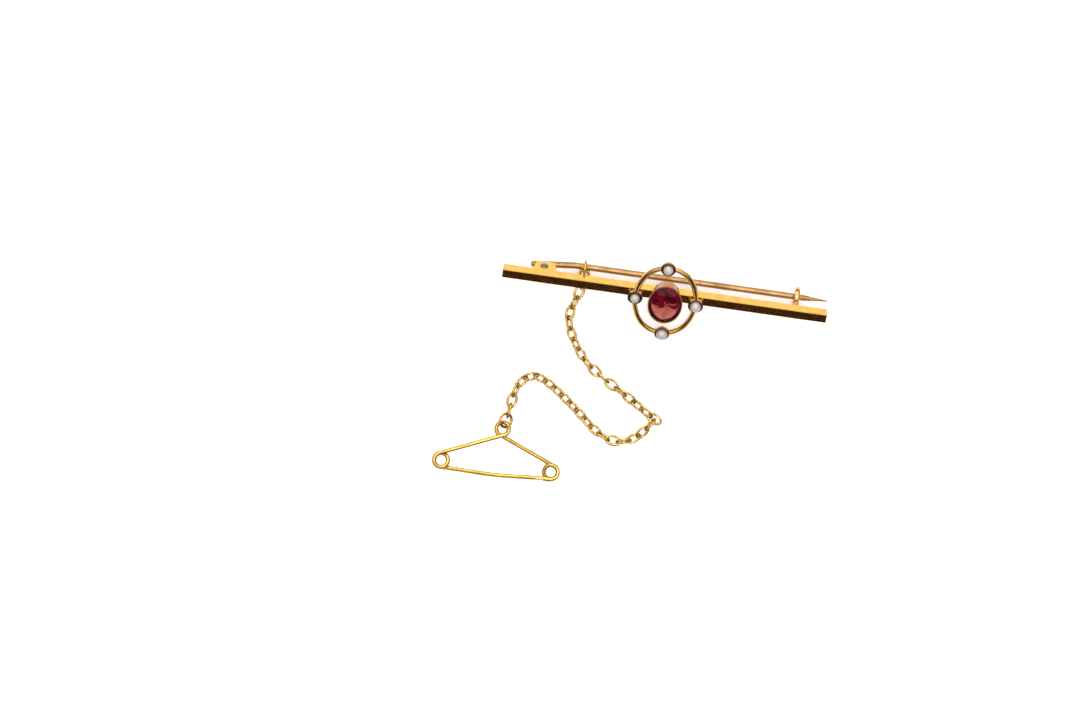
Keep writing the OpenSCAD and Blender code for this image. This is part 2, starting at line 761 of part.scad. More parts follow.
module pin_stem() {
    tail = (bend_reach + tail_length) / cos(tail_angle);
    flat = bar_height - 2 * (plate_thick + hinge_play);
    flat_end = hinge_x + flat_share * plate_length;
    eye = rivet_out - eye_gap;
    radius = stem_wire / 2;
    tip = 0.06;
    thin = thin_x - bend_x;
    point = point_x - bend_x;
    full = tip_x - bend_x;
    color([0.72, 0.5, 0.24])
        leaning()
            difference() {
                union() {
                    // The hinge end, filed flat where it lies between the plates
                    difference() {
                        translate([bend_x, stem_y, 0])
                            rotate([0, -90, tail_angle])
                                cylinder(r = radius, h = tail);
                        for (side = [0, 180])
                            rotate([side, 0, 0])
                                translate([hinge_x - bend_reach, -bar_length / 2, flat / 2])
                                    cube([flat_end - hinge_x + bend_reach, bar_length, stem_wire]);
                    }
                    translate([hinge_x, hinge_y, -flat / 2])
                        linear_extrude(flat)
                            circle(r = eye);
                    translate([hinge_x - 0.8 * eye, hinge_y, -flat / 2])
                        cube([1.6 * eye, stem_y - bend_reach * sin(tail_angle) - hinge_y, flat]);
                    // A ball hides the corner where the tail turns into the stem
                    translate([bend_x, stem_y, 0])
                        rotate([0, 90, 0])
                            sphere(r = radius + bend_swell);
                    translate([bend_x, stem_y, 0])
                        rotate([0, 90, 0])
                            rotate_extrude()
                                polygon([
                                    [0, 0], [radius, 0], [radius, thin],
                                    [stem_thin / 2, point], [tip, full - tip],
                                    [0.6 * tip, full - 0.3 * tip], [0, full]
                                ]);
                }
                translate([hinge_x, hinge_y, 0])
                    cylinder(d = rivet_shank + 2 * fit_gap, h = 2 * bar_height, center = true);
            }
}

module eyelet_ring() {
    color([0.82, 0.6, 0.26])
        leaning()
            translate([eyelet_x, jump_y, jump_z])
                rotate([0, 90, 0])
                    round_wire(jump_mean, jump_wire);
}

module chain_link(i) {
    pose = link_poses[i];
    color([0.82, 0.6, 0.26])
        lying()
            translate(pose[0])
                rotate([link_turn(i), -pose[2], pose[1]])
                    link_wire_loop(2 * half_long, 2 * half_wide, link_wire);
}

module end_ring() {
    color([0.82, 0.6, 0.26])
        lying()
            translate(end_middle)
                rotate([-end_tilt, 0, end_heading])
                    round_wire(jump_mean, jump_wire);
}

module safety_pin() {
    color([0.82, 0.6, 0.26])
        lying()
            translate([pin_place.x, pin_place.y, 0])
                rotate(pin_heading)
                    safety_pin_wire();
}

brooch_frame();
garnet();
pearl(0);  // pearl_right
pearl(1);  // pearl_top
pearl(2);  // pearl_left
pearl(3);  // pearl_bottom
hinge_rivet();
pin_stem();
eyelet_ring();
end_ring();
safety_pin();
for (i = [1 : link_count])
    chain_link(i - 1);
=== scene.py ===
"""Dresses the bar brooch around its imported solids: gold, garnet, pearls, chain and pins."""

import logging
import math
from dataclasses import dataclass
from enum import Enum

import bmesh
import bpy
import numpy as np
from mathutils import Matrix, Vector


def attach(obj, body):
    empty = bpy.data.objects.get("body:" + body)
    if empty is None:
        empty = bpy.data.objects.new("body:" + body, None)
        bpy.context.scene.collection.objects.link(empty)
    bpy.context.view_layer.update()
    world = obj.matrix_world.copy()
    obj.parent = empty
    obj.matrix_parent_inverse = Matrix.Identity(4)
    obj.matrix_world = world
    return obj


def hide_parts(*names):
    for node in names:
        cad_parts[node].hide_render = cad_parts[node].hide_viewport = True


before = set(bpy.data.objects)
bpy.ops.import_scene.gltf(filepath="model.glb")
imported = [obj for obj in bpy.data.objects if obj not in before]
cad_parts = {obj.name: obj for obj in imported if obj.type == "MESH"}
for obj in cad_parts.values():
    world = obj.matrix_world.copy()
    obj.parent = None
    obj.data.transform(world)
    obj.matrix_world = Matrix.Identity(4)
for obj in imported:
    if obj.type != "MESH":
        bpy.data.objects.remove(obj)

LOG = logging.getLogger("brooch")
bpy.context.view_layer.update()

Point = tuple[float, float, float]
Pair = tuple[float, float]
Tone = tuple[float, float, float]
Socket = bpy.types.NodeSocket
BMesh, Vert, Edge = bmesh.types.BMesh, bmesh.types.BMVert, bmesh.types.BMEdge
Geometry = list[Vert | Edge | bmesh.types.BMFace]

# Shapes are made in millimetres. In the brooch's own axes the bar runs along X through the
# origin, its front faces -Y and its top +Z. LEANING puts such a shape into the frame, in metres.
# LYING does so for what lies flat on the floor.
MM = 0.001
TO_METRES = Matrix.Scale(MM, 4)
BAR_MIDDLE = Vector((2.98768, 12.5073, 0.0))
BAR_LIFT = Vector((0.0, 0.0, 3.7395))
LEAN = math.radians(47.0)
LYING = TO_METRES @ Matrix.Translation(BAR_MIDDLE)
RAISED = Matrix.Translation(BAR_MIDDLE + BAR_LIFT)
LEANING = TO_METRES @ RAISED @ Matrix.Rotation(-LEAN, 4, "X")

ACROSS = (1, 0, 0)
UPWARDS = (0, 0, 1)
MERGED = 1e-4

# A colour Mix node's sockets, by number, because some of their names repeat
MIX_SHARE, MIX_ONE, MIX_TWO, MIX_RESULT = 0, 6, 7, 2


class Body(Enum):
    """The bodies that pieces ride on."""

    BROOCH = "brooch"
    PIN = "pin"


class Slot(Enum):
    """The record's material slots."""

    GOLD = "gold"
    PIN_GOLD = "pin_gold"
    CHAIN = "gold_chain"
    RIVET = "rivet_steel"
    GARNET = "garnet"
    PEARL = "pearl"


@dataclass(frozen=True)
class Ride:
    """What a piece rides on, a material slot, and which solids it stands for."""

    slot: Slot
    nodes: tuple[str, ...]
    body: Body = Body.BROOCH


ON_FRAME = Ride(Slot.GOLD, ("brooch_frame",))


class Nodes:
    """Adds nodes to one node tree and feeds their inputs."""

    def __init__(self, tree: bpy.types.NodeTree) -> None:
        """Takes the tree that gets the nodes."""
        self.tree = tree

    def feed(self, node: bpy.types.Node, feeds: dict[str | int, object]) -> None:
        """Feeds inputs of a node.

        Args:
            node: The node.
            feeds: A socket to link or a plain value to set, by each input's name or number.
        """
        for key, value in feeds.items():
            socket = node.inputs[key]
            if isinstance(value, Socket):
                self.tree.links.new(value, socket)
            elif socket.type == "RGBA":
                socket.default_value = (*value, 1.0)
            else:
                socket.default_value = value

    def add(
        self, kind: str, feeds: dict[str | int, object] | None = None, **settings: object
    ) -> bpy.types.Node:
        """Adds a node.

        Args:
            kind: The node's Blender type name.
            feeds: What feeds its inputs, as for feed.
            settings: The node's own properties.

        Returns:
            The new node.
        """
        node = self.tree.nodes.new(kind)
        for name, value in settings.items():
            setattr(node, name, value)
        self.feed(node, feeds or {})
        return node

    def place(self) -> tuple[Socket, Socket]:
        """Returns a piece's Object coordinates and the way its surface faces."""
        outputs = self.add("ShaderNodeTexCoord").outputs
        return outputs["Object"], outputs["Normal"]

    def maths(self, kind: str, one: Socket | float, two: Socket | float = 0.0) -> Socket:
        """Returns the result of a sum on sockets or numbers."""
        return self.add("ShaderNodeMath", {0: one, 1: two}, operation=kind).outputs[0]

    def dot(self, one: Socket, two: Point) -> Socket:
        """Returns a vector's dot product with a fixed one."""
        node = self.add("ShaderNodeVectorMath", {0: one, 1: two}, operation="DOT_PRODUCT")
        return node.outputs["Value"]

    def ramp(
        self,
        value: Socket,
        span: Pair,
        levels: tuple[Socket | float, Socket | float] = (0.0, 1.0),
        shape: str = "SMOOTHSTEP",
    ) -> Socket:
        """Returns a step from one level to another, which a value makes over a span."""
        # The node's first five inputs, in their own order
        feeds = dict(enumerate((value, *span, *levels)))
        return self.add("ShaderNodeMapRange", feeds, interpolation_type=shape).outputs["Result"]

    def mix(self, share: Socket, one: Socket | Tone, two: Socket | Tone) -> Socket:
        """Returns a mix of two tones."""
        feeds = {MIX_SHARE: share, MIX_ONE: one, MIX_TWO: two}
        return self.add("ShaderNodeMix", feeds, data_type="RGBA").outputs[MIX_RESULT]

    def noise(
        self, place: Socket, scale: Socket | float, detail: float, roughness: float = 0.5
    ) -> Socket:
        """Returns a noise pattern of a scale, with finer layers of some strength."""
        feeds = {"Vector": place, "Scale": scale, "Detail": detail, "Roughness": roughness}
        return self.add("ShaderNodeTexNoise", feeds).outputs["Fac"]

    def bump(self, height: Socket, strength: float, depth: float) -> Socket:
        """Returns a surface's way with a relief on it, whose depth is in metres."""
        feeds = {"Height": height, "Strength": strength, "Distance": depth}
        return self.add("ShaderNodeBump", feeds).outputs["Normal"]


@dataclass(frozen=True)
class MetalWear:
    """The wear that every metal shows: patches of handling and fine lengthwise scratches."""

    name: str = "worn_metal"
    patch_detail: float = 4.0
    patch_roughness: float = 0.6
    toned: Pair = (0.35, 0.7)
    dulled: Pair = (0.3, 0.75)
    scratch_scale: Point = (900.0, 9000.0, 9000.0)
    scratch_detail: float = 3.0

    def build(self) -> None:
        """Builds the group that mixes a metal's clean and handled tones and its scratches."""
        group = bpy.data.node_groups.new(self.name, "ShaderNodeTree")
        tones = {"Clean": "Color", "Handled": "Color"}
        levels = {"Patch Scale": "Float", "Polish": "Float", "Dullness": "Float"}
        sockets = {
            "INPUT": {"Vector": "Vector", **tones, **levels},
            "OUTPUT": {"Color": "Color", "Roughness": "Float", "Height": "Float"},
        }
        for way, kinds in sockets.items():
            for name, kind in kinds.items():
                group.interface.new_socket(name=name, in_out=way, socket_type="NodeSocket" + kind)
        nodes = Nodes(group)
        given = nodes.add("NodeGroupInput").outputs
        place, shine = given["Vector"], (given["Polish"], given["Dullness"])
        texture = (self.patch_detail, self.patch_roughness)
        patches = nodes.noise(place, given["Patch Scale"], *texture)
        share = nodes.ramp(patches, self.toned, shape="LINEAR")
        # Scratches run along the bar, so their noise is drawn out in X
        stretch = nodes.add("ShaderNodeMapping", {"Vector": place, "Scale": self.scratch_scale})
        results = {
            "Color": nodes.mix(share, given["Clean"], given["Handled"]),
            "Roughness": nodes.ramp(patches, self.dulled, shine, "LINEAR"),
            "Height": nodes.noise(stretch.outputs["Vector"], 1.0, self.scratch_detail),
        }
        nodes.add("NodeGroupOutput", results)


@dataclass(frozen=True)
class Finish:
    """A named finish, which says what feeds its material's shader."""

    name: str

    def look(self, nodes: Nodes) -> dict[str, object]:
        """Returns what feeds the shader's inputs."""
        raise NotImplementedError

    def material(self) -> bpy.types.Material:
        """Makes the finish's material.

        Returns:
            The material.
        """
        material = bpy.data.materials.new(self.name)
        material.use_nodes = True
        nodes = Nodes(material.node_tree)
        nodes.feed(material.node_tree.nodes["Principled BSDF"], self.look(nodes))
        return material


@dataclass(frozen=True)
class MetalFinish(Finish):
    """A worn metal: its clean and handled tones, how it shines and how much painted shade darkens
    its flanks.
    """

    clean: Tone
    handled: Tone
    polish: float
    dullness: float
    patch_scale: float = 700.0
    relief: float = 0.25
    # How much painted shade darkens the flanks, its tone, and over what span of upward facing it
    # fades
    painted_flank_shade: float = 0.0
    painted_shade_tone: Tone = (0.11, 0.045, 0.01)
    flank: Pair = (0.45, 0.85)
    edge: Tone = (1.0, 1.0, 1.0)
    scratch_depth: float = 0.00001

    def look(self, nodes: Nodes) -> dict[str, object]:
        """Puts the shared wear between the metal's tones and paints shade on a wire's flanks.

        Args:
            nodes: Adds the material's nodes.

        Returns:
            What feeds the shader's inputs.
        """
        place, facing = nodes.place()
        wear = {
            "Vector": place,
            "Clean": self.clean,
            "Handled": self.handled,
            "Patch Scale": self.patch_scale,
            "Polish": self.polish,
            "Dullness": self.dullness,
        }
        group = bpy.data.node_groups[MetalWear.name]
        surface = nodes.add("ShaderNodeGroup", wear, node_tree=group).outputs
        tone = surface["Color"]
        if self.painted_flank_shade:
            # Painted shade: where the surface faces sideways rather than up, as on a wire's flanks,
            # the tone is darkened
            upright = nodes.add("ShaderNodeSeparateXYZ", {"Vector": facing}).outputs["Z"]
            share = nodes.ramp(nodes.maths("ABSOLUTE", upright), self.flank, (self.painted_flank_shade, 0.0))
            tone = nodes.mix(share, tone, self.painted_shade_tone)
        return {
            "Base Color": tone,
            "Metallic": 1.0,
            "Roughness": surface["Roughness"],
            "Specular Tint": self.edge,
            "Normal": nodes.bump(surface["Height"], self.relief, self.scratch_depth),
        }


@dataclass(frozen=True)
class PearlFinish(Finish):
    """The lustre of a small pearl, with faint cloudy patches and painted shade that darkens its
    rim.
    """

    name: str = "seed_pearl"
    pale: Tone = (0.62, 0.58, 0.55)
    warm: Tone = (0.52, 0.44, 0.39)
    clouds: float = 1500.0
    cloudy: Pair = (0.35, 0.7)
    # The painted shade: its tone, the axis that it darkens away from, between the brooch's front
    # and up, and the span over which it fades
    edge: Tone = (0.26, 0.19, 0.16)
    front: Point = (0.0, -0.37, 0.93)
    rim: Pair = (0.35, 1.05)
    grain: float = 9000.0
    relief: float = 0.12
    grain_depth: float = 0.00002

    def look(self, nodes: Nodes) -> dict[str, object]:
        """Lays cloudy patches on the pearl and paints shade on its rim.

        Args:
            nodes: Adds the material's nodes.

        Returns:
            What feeds the shader's inputs.
        """
        place, facing = nodes.place()
        clouds = nodes.ramp(nodes.noise(place, self.clouds, 3.0), self.cloudy, shape="LINEAR")
        # Painted shade: the pearl darkens away from a fixed axis, so its middle reads as lit and
        # its rim as shaded
        share = nodes.ramp(nodes.dot(facing, self.front), self.rim)
        grain = nodes.noise(place, self.grain, 2.0)
        return {
            "Base Color": nodes.mix(share, self.edge, nodes.mix(clouds, self.pale, self.warm)),
            "Roughness": 0.3,
            "Coat Weight": 1.0,
            "Coat Roughness": 0.08,
            "Subsurface Weight": 0.25,
            "Subsurface Radius": (1.0, 0.8, 0.6),
            "Subsurface Scale": 0.0003,
            "Normal": nodes.bump(grain, self.relief, self.grain_depth),
        }


@dataclass(frozen=True)
class GarnetFinish(Finish):
    """Red garnet with painted light: the facets of its back are painted as darker or lighter
    patches, and a painted glow lies low down.
    """

    name: str = "red_garnet"
    # The painted tones: shaded facets, lit facets and the glow low down
    deep: Tone = (0.03, 0.001, 0.004)
    red: Tone = (0.17, 0.004, 0.018)
    glow: Tone = (0.66, 0.16, 0.12)
    middle: Point = (0.0, 0.0, 0.0)
    half_wide: float = 0.00222
    half_tall: float = 0.00304
    facets: float = 16.0
    rows: float = 2.7
    row_shift: float = 0.5
    row_numbers: float = 37.0
    glow_top: Pair = (0.32, 0.16)
    glow_rim: Pair = (0.9, 0.74)
    glow_uneven: float = 0.6
    glow_least: float = 0.55

    def look(self, nodes: Nodes) -> dict[str, object]:
        """Paints each facet lighter or darker, from its row and its place round the stone, and
        paints a glow low down.

        Args:
            nodes: Adds the material's nodes.

        Returns:
            What feeds the shader's inputs.
        """
        maths = nodes.maths
        from_middle = {0: nodes.place()[0], 1: self.middle}
        spot = nodes.add("ShaderNodeVectorMath", from_middle, operation="SUBTRACT").outputs[0]
        upward = Vector((0.0, math.sin(LEAN), math.cos(LEAN)))
        across = nodes.dot(spot, Vector(ACROSS) / self.half_wide)
        up = nodes.dot(spot, upward / self.half_tall)
        square = maths("ADD", maths("MULTIPLY", across, across), maths("MULTIPLY", up, up))
        reach = maths("SQRT", square)
        row = maths("FLOOR", maths("MULTIPLY", reach, self.rows))
        around = maths("MULTIPLY", maths("ARCTAN2", up, across), self.facets / math.tau)
        number = maths("FLOOR", maths("ADD", around, maths("MULTIPLY", row, self.row_shift)))
        number = maths("ADD", number, maths("MULTIPLY", row, self.row_numbers))
        # Painted light: each facet gets its own random share between the dark and the red tone, as
        # if lit or shaded
        patch = nodes.add("ShaderNodeTexWhiteNoise", {"W": number}, noise_dimensions="1D")
        light = patch.outputs["Value"]
        # Painted glow: light that seems to come back out of the stone's lower part, uneven from
        # facet to facet
        height = maths("ADD", up, maths("MULTIPLY", light, self.glow_uneven))
        below, inside = nodes.ramp(height, self.glow_top), nodes.ramp(reach, self.glow_rim)
        strength = maths("MULTIPLY", light, 1.0 - self.glow_least)
        strength = maths("ADD", strength, self.glow_least)
        share = maths("MULTIPLY", maths("MULTIPLY", below, inside), strength)
        return {
            "Base Color": nodes.mix(share, nodes.mix(light, self.deep, self.red), self.glow),
            "Roughness": 0.04,
            "IOR": 1.76,
            "Specular IOR Level": 0.14,
        }


@dataclass(frozen=True)
class PaperFinish(Finish):
    """The pale sheet that the brooch lies on, lit softly from below as on a light table."""

    name: str = "pale_sheet"
    tone: Tone = (0.86, 0.86, 0.87)
    lit: float = 0.42

    def look(self, nodes: Nodes) -> dict[str, object]:
        """Returns what feeds the shader's inputs."""
        glow = {"Emission Color": self.tone, "Emission Strength": self.lit}
        return {"Base Color": self.tone, "Roughness": 0.9, "Specular IOR Level": 0.1, **glow}


class Metal(Enum):
    """The brooch's metals, which differ a little in tone and wear."""

    BAR = MetalFinish("bar_gold", (0.74, 0.46, 0.11), (0.64, 0.35, 0.075), 0.1, 0.2)
    RING = MetalFinish("ring_gold", (0.7, 0.43, 0.14), (0.42, 0.23, 0.07), 0.14, 0.3)
    COLLET = MetalFinish(
        "rose_gold", (0.42, 0.19, 0.075), (0.28, 0.11, 0.045), 0.2, 0.4, edge=(0.94, 0.9, 0.78)
    )
    CATCH = MetalFinish("catch_gold", (0.74, 0.46, 0.21), (0.56, 0.32, 0.13), 0.15, 0.3)
    PIN = MetalFinish(
        "pin_dull_gold", (0.48, 0.29, 0.12), (0.32, 0.17, 0.06), 0.36, 0.5, 500.0, 0.4
    )
    # The chain gets painted shade on the flanks of its wires
    CHAIN = MetalFinish(
        "chain_gold", (0.68, 0.42, 0.085), (0.43, 0.25, 0.04), 0.08, 0.2, 900.0, painted_flank_shade=0.56
    )
    TARNISH = MetalFinish(
        "cup_tarnish", (0.24, 0.19, 0.12), (0.08, 0.06, 0.04), 0.35, 0.6, 2500.0, 0.5
    )
    RIVET = MetalFinish(
        "rivet_dark_steel", (0.3, 0.26, 0.2), (0.14, 0.11, 0.08), 0.3, 0.5, 2500.0, 0.5
    )


class Finishes:
    """Every material of the brooch, made once."""

    def __init__(self, stone: Point) -> None:
        """Makes the wear group and every material.

        Args:
            stone: The garnet's middle in the brooch's own axes.
        """
        MetalWear().build()
        self.metals = {metal: metal.value.material() for metal in Metal}
        self.pearl = PearlFinish().material()
        self.garnet = GarnetFinish(middle=tuple(LEANING @ Vector(stone))).material()
        self.sheet = PaperFinish().material()


def at(x: float, y: float, z: float) -> Matrix:
    """Returns a move to a point."""
    return Matrix.Translation((x, y, z))


def turn(degrees: float, axis: str) -> Matrix:
    """Returns a turn about an axis."""
    return Matrix.Rotation(math.radians(degrees), 4, axis)


TO_FRONT = turn(90.0, "X")


def only_verts(parts: Geometry) -> list[Vert]:
    """Returns the vertices among parts of a mesh."""
    return [part for part in parts if isinstance(part, Vert)]


def middle_of(verts: list[Vert]) -> Vector:
    """Returns the mean of some vertices' places."""
    return sum((vert.co for vert in verts), Vector()) / len(verts)


def cap(bm: BMesh) -> None:
    """Closes every open rim of the mesh."""
    rims = [edge for edge in bm.edges if edge.is_boundary]
    bmesh.ops.holes_fill(bm, edges=rims, sides=0)


class Wire:
    """A wire, or a strip, that is drawn out and bent from a round section."""

    def __init__(self, sides: int, radius: float, place: Matrix) -> None:
        """Starts the wire from an open circle of edges.

        Args:
            sides: Number of edges.
            radius: The circle's radius.
            place: Turns and moves the circle, which lies in X and Y.
        """
        self.bm = bmesh.new()
        bmesh.ops.create_circle(
            self.bm, cap_ends=False, segments=sides, radius=radius, matrix=place
        )
        self.end: Geometry = list(self.bm.verts) + list(self.bm.edges)

    def bend(self, centre: Point, axis: Point, degrees: float, steps: int) -> None:
        """Sweeps the wire's end part of the way round an axis.

        Args:
            centre: A point on the axis.
            axis: The axis.
            degrees: How far the end goes.
            steps: Number of steps.
        """
        turn_by = {"cent": centre, "axis": axis, "angle": math.radians(degrees)}
        swept = bmesh.ops.spin(self.bm, geom=self.end, steps=steps, use_merge=False, **turn_by)
        self.end = swept["geom_last"]

    def draw(self, way: Point, swell: float = 1.0) -> None:
        """Draws the wire's end out.

        Args:
            way: How far the end moves.
            swell: Size of the new end as a share of the old one.
        """
        edges = [part for part in self.end if isinstance(part, Edge)]
        new = bmesh.ops.extrude_edge_only(self.bm, edges=edges)["geom"]
        verts = only_verts(new)
        bmesh.ops.translate(self.bm, vec=way, verts=verts)
        if swell != 1.0:
            about = Matrix.Translation(-middle_of(verts))
            bmesh.ops.scale(self.bm, vec=(swell, swell, swell), space=about, verts=verts)
        ends = set(verts)
        sides = [part for part in new if isinstance(part, Edge)]
        self.end = verts + [edge for edge in sides if ends.issuperset(edge.verts)]

    def close(self) -> BMesh:
        """Caps the wire's open ends and returns its mesh."""
        cap(self.bm)
        return self.bm


def spun_full(bm: BMesh, section: Geometry, steps: int) -> BMesh:
    """Sweeps a section once round Z, joins the sweep's ends and returns the mesh."""
    bmesh.ops.spin(
        bm, geom=section, cent=(0, 0, 0), axis=UPWARDS, angle=math.tau, steps=steps, use_merge=True
    )
    return bm


def turned(profile: list[Pair], steps: int = 48) -> BMesh:
    """Turns a profile of radii and heights round Z.

    Args:
        profile: Pairs of radius and height, from one end of the shape to the other.
        steps: Number of steps round.

    Returns:
        The turned mesh, closed where the profile starts and ends on the axis.
    """
    bm = bmesh.new()
    verts = [bm.verts.new((radius, 0.0, height)) for radius, height in profile]
    edges = [bm.edges.new(pair) for pair in zip(verts, verts[1:])]
    spun_full(bm, verts + edges, steps)
    bmesh.ops.remove_doubles(bm, verts=bm.verts, dist=MERGED)
    return bm


def slab(outline: list[Pair], thickness: float, bevel: float) -> BMesh:
    """Cuts a flat outline in X and Y from sheet, with its edges eased.

    Args:
        outline: Corners of the outline.
        thickness: Thickness of the sheet, upwards from Z = 0.
        bevel: Width of the eased edges.

    Returns:
        The sheet's mesh.
    """
    bm = bmesh.new()
    face = bm.faces.new([bm.verts.new((x, y, 0.0)) for x, y in outline])
    new = bmesh.ops.extrude_face_region(bm, geom=[face])["geom"]
    bmesh.ops.translate(bm, vec=(0, 0, thickness), verts=only_verts(new))
    bmesh.ops.recalc_face_normals(bm, faces=bm.faces)
    ease(bm, bevel)
    return bm


def block(size: Point, middle: Point, bevel: float) -> BMesh:
    """Makes a block with eased edges.

    Args:
        size: Its size along X, Y and Z.
        middle: Its middle.
        bevel: Width of the eased edges.

    Returns:
        The block's mesh.
    """
    bm = bmesh.new()
    bmesh.ops.create_cube(bm, size=1.0, matrix=at(*middle) @ Matrix.Diagonal((*size, 1)))
    ease(bm, bevel)
    return bm


def ease(bm: BMesh, width: float) -> None:
    """Rounds every edge of a mesh by a width."""
    look = {"affect": "EDGES", "segments": 3, "profile": 0.5, "material": -1}
    bmesh.ops.bevel(bm, geom=list(bm.edges), offset=width, clamp_overlap=True, **look)


def oval_wire(long: float, wide: float, wire: float, steps: tuple[int, int], sides: int) -> BMesh:
    """Bends a round wire to an oval of four arcs, long in X.

    Args:
        long: Length of the oval between wire centres.
        wide: Width of the oval between wire centres.
        wire: Thickness of the wire.
        steps: Steps along half an end arc and along half a side arc.
        sides: Number of sides of the wire.

    Returns:
        The closed loop.
    """
    a, b = long / 2, wide / 2
    r_end = (b * b / a + b) / 2
    r_side = (a * a + b * b - 2 * a * r_end) / (2 * (b - r_end))
    half = math.degrees(math.atan((a - r_end) / (r_side - b)))
    loop = Wire(sides, wire / 2, at(a, 0, 0) @ TO_FRONT)
    end, side = a - r_end, r_side - b
    arcs = [
        ((end, 0, 0), 90 - half, steps[0]),
        ((0, -side, 0), 2 * half, 2 * steps[1]),
        ((-end, 0, 0), 180 - 2 * half, 2 * steps[0]),
        ((0, side, 0), 2 * half, 2 * steps[1]),
        ((end, 0, 0), 90 - half, steps[0]),
    ]
    for centre, degrees, count in arcs:
        loop.bend(centre, UPWARDS, degrees, count)
    bmesh.ops.remove_doubles(loop.bm, verts=loop.bm.verts, dist=10 * MERGED)
    return loop.bm


def as_mesh(name: str, bm: BMesh) -> bpy.types.Mesh:
    """Turns a bmesh into mesh data and frees it.

    Args:
        name: The mesh data's name.
        bm: The bmesh.

    Returns:
        The mesh data.
    """
    mesh = bpy.data.meshes.new(name)
    bm.to_mesh(mesh)
    bm.free()
    return mesh


def joined(parts: list[BMesh]) -> BMesh:
    """Puts several meshes into one and frees them.

    Args:
        parts: The meshes.

    Returns:
        The one mesh.
    """
    whole = bmesh.new()
    for part in parts:
        loose = as_mesh("loose", part)
        whole.from_mesh(loose)
        bpy.data.meshes.remove(loose)
    return whole


def moved(bm: BMesh, place: Matrix) -> BMesh:
    """Moves a whole mesh and returns it."""
    bmesh.ops.transform(bm, matrix=place, verts=bm.verts)
    return bm


def in_scene(name: str, data: bpy.types.ID) -> bpy.types.Object:
    """Puts an object into the scene.

    Args:
        name: The object's name.
        data: Its mesh, camera or light.

    Returns:
        The object.
    """
    thing = bpy.data.objects.new(name, data)
    bpy.context.scene.collection.objects.link(thing)
    return thing


def add_piece(
    name: str,
    bm: BMesh,
    material: bpy.types.Material,
    place: Matrix = LEANING,
    ride: Ride = ON_FRAME,
    sharp: float = 40.0,
) -> bpy.types.Object:
    """Turns a mesh into a finished piece of the brooch.

    Args:
        name: The piece's name.
        bm: Its mesh in millimetres, which is freed.
        material: Its material.
        place: Puts the mesh into the frame, in metres.
        ride: The body that it rides on and the solids that it hides.
        sharp: Angle in degrees above which an edge stays crisp.

    Returns:
        The piece.
    """
    bmesh.ops.remove_doubles(bm, verts=bm.verts, dist=MERGED)
    bmesh.ops.recalc_face_normals(bm, faces=bm.faces)
    mesh = as_mesh(name, moved(bm, place))
    mesh.shade_smooth()
    mesh.set_sharp_from_angle(angle=math.radians(sharp))
    mesh.materials.append(material)
    piece = in_scene(name, mesh)
    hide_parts(*ride.nodes)
    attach(piece, ride.body.value)
    LOG.info("%s: %d faces on %s", name, len(mesh.polygons), ride.body.value)
    return piece


def cut_away(piece: bpy.types.Object, cutters: BMesh) -> None:
    """Cuts a mesh out of a piece for good.

    Args:
        piece: The piece that is cut.
        cutters: What is taken away, in metres, which is freed.
    """
    bmesh.ops.recalc_face_normals(cutters, faces=cutters.faces)
    tool = in_scene("cutters", as_mesh("cutters", cutters))
    cut = piece.modifiers.new("cut", "BOOLEAN")
    cut.operation = "DIFFERENCE"
    cut.solver = "EXACT"
    cut.object = tool
    bpy.context.view_layer.update()
    whole = piece.evaluated_get(bpy.context.evaluated_depsgraph_get())
    result = bpy.data.meshes.new_from_object(whole)
    piece.modifiers.clear()
    result.name = piece.data.name + "_cut"
    piece.data = result
    bpy.data.objects.remove(tool)


def node_place(name: str) -> Matrix:
    """Finds the middle and the long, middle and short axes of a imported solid.

    Args:
        name: The solid's node name.

    Returns:
        A matrix from the solid's own axes to the frame, in metres.
    """
    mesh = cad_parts[name].data
    mesh.calc_loop_triangles()
    corners = np.array([vertex.co for vertex in mesh.vertices])
    triangles = corners[np.array([tri.vertices for tri in mesh.loop_triangles])]
    first = triangles[:, 0]
    area = np.linalg.norm(np.cross(triangles[:, 1] - first, triangles[:, 2] - first), axis=1)
    middles = triangles.mean(axis=1)
    middle = (middles * area[:, None]).sum(axis=0) / area.sum()
    spread = (middles - middle).T @ ((middles - middle) * area[:, None])
    _, axes = np.linalg.eigh(spread)
    long, wide = Vector(axes[:, 2]), Vector(axes[:, 1])
    pose = Matrix((long, wide, long.cross(wide))).transposed().to_4x4()
    return Matrix.Translation(middle) @ pose


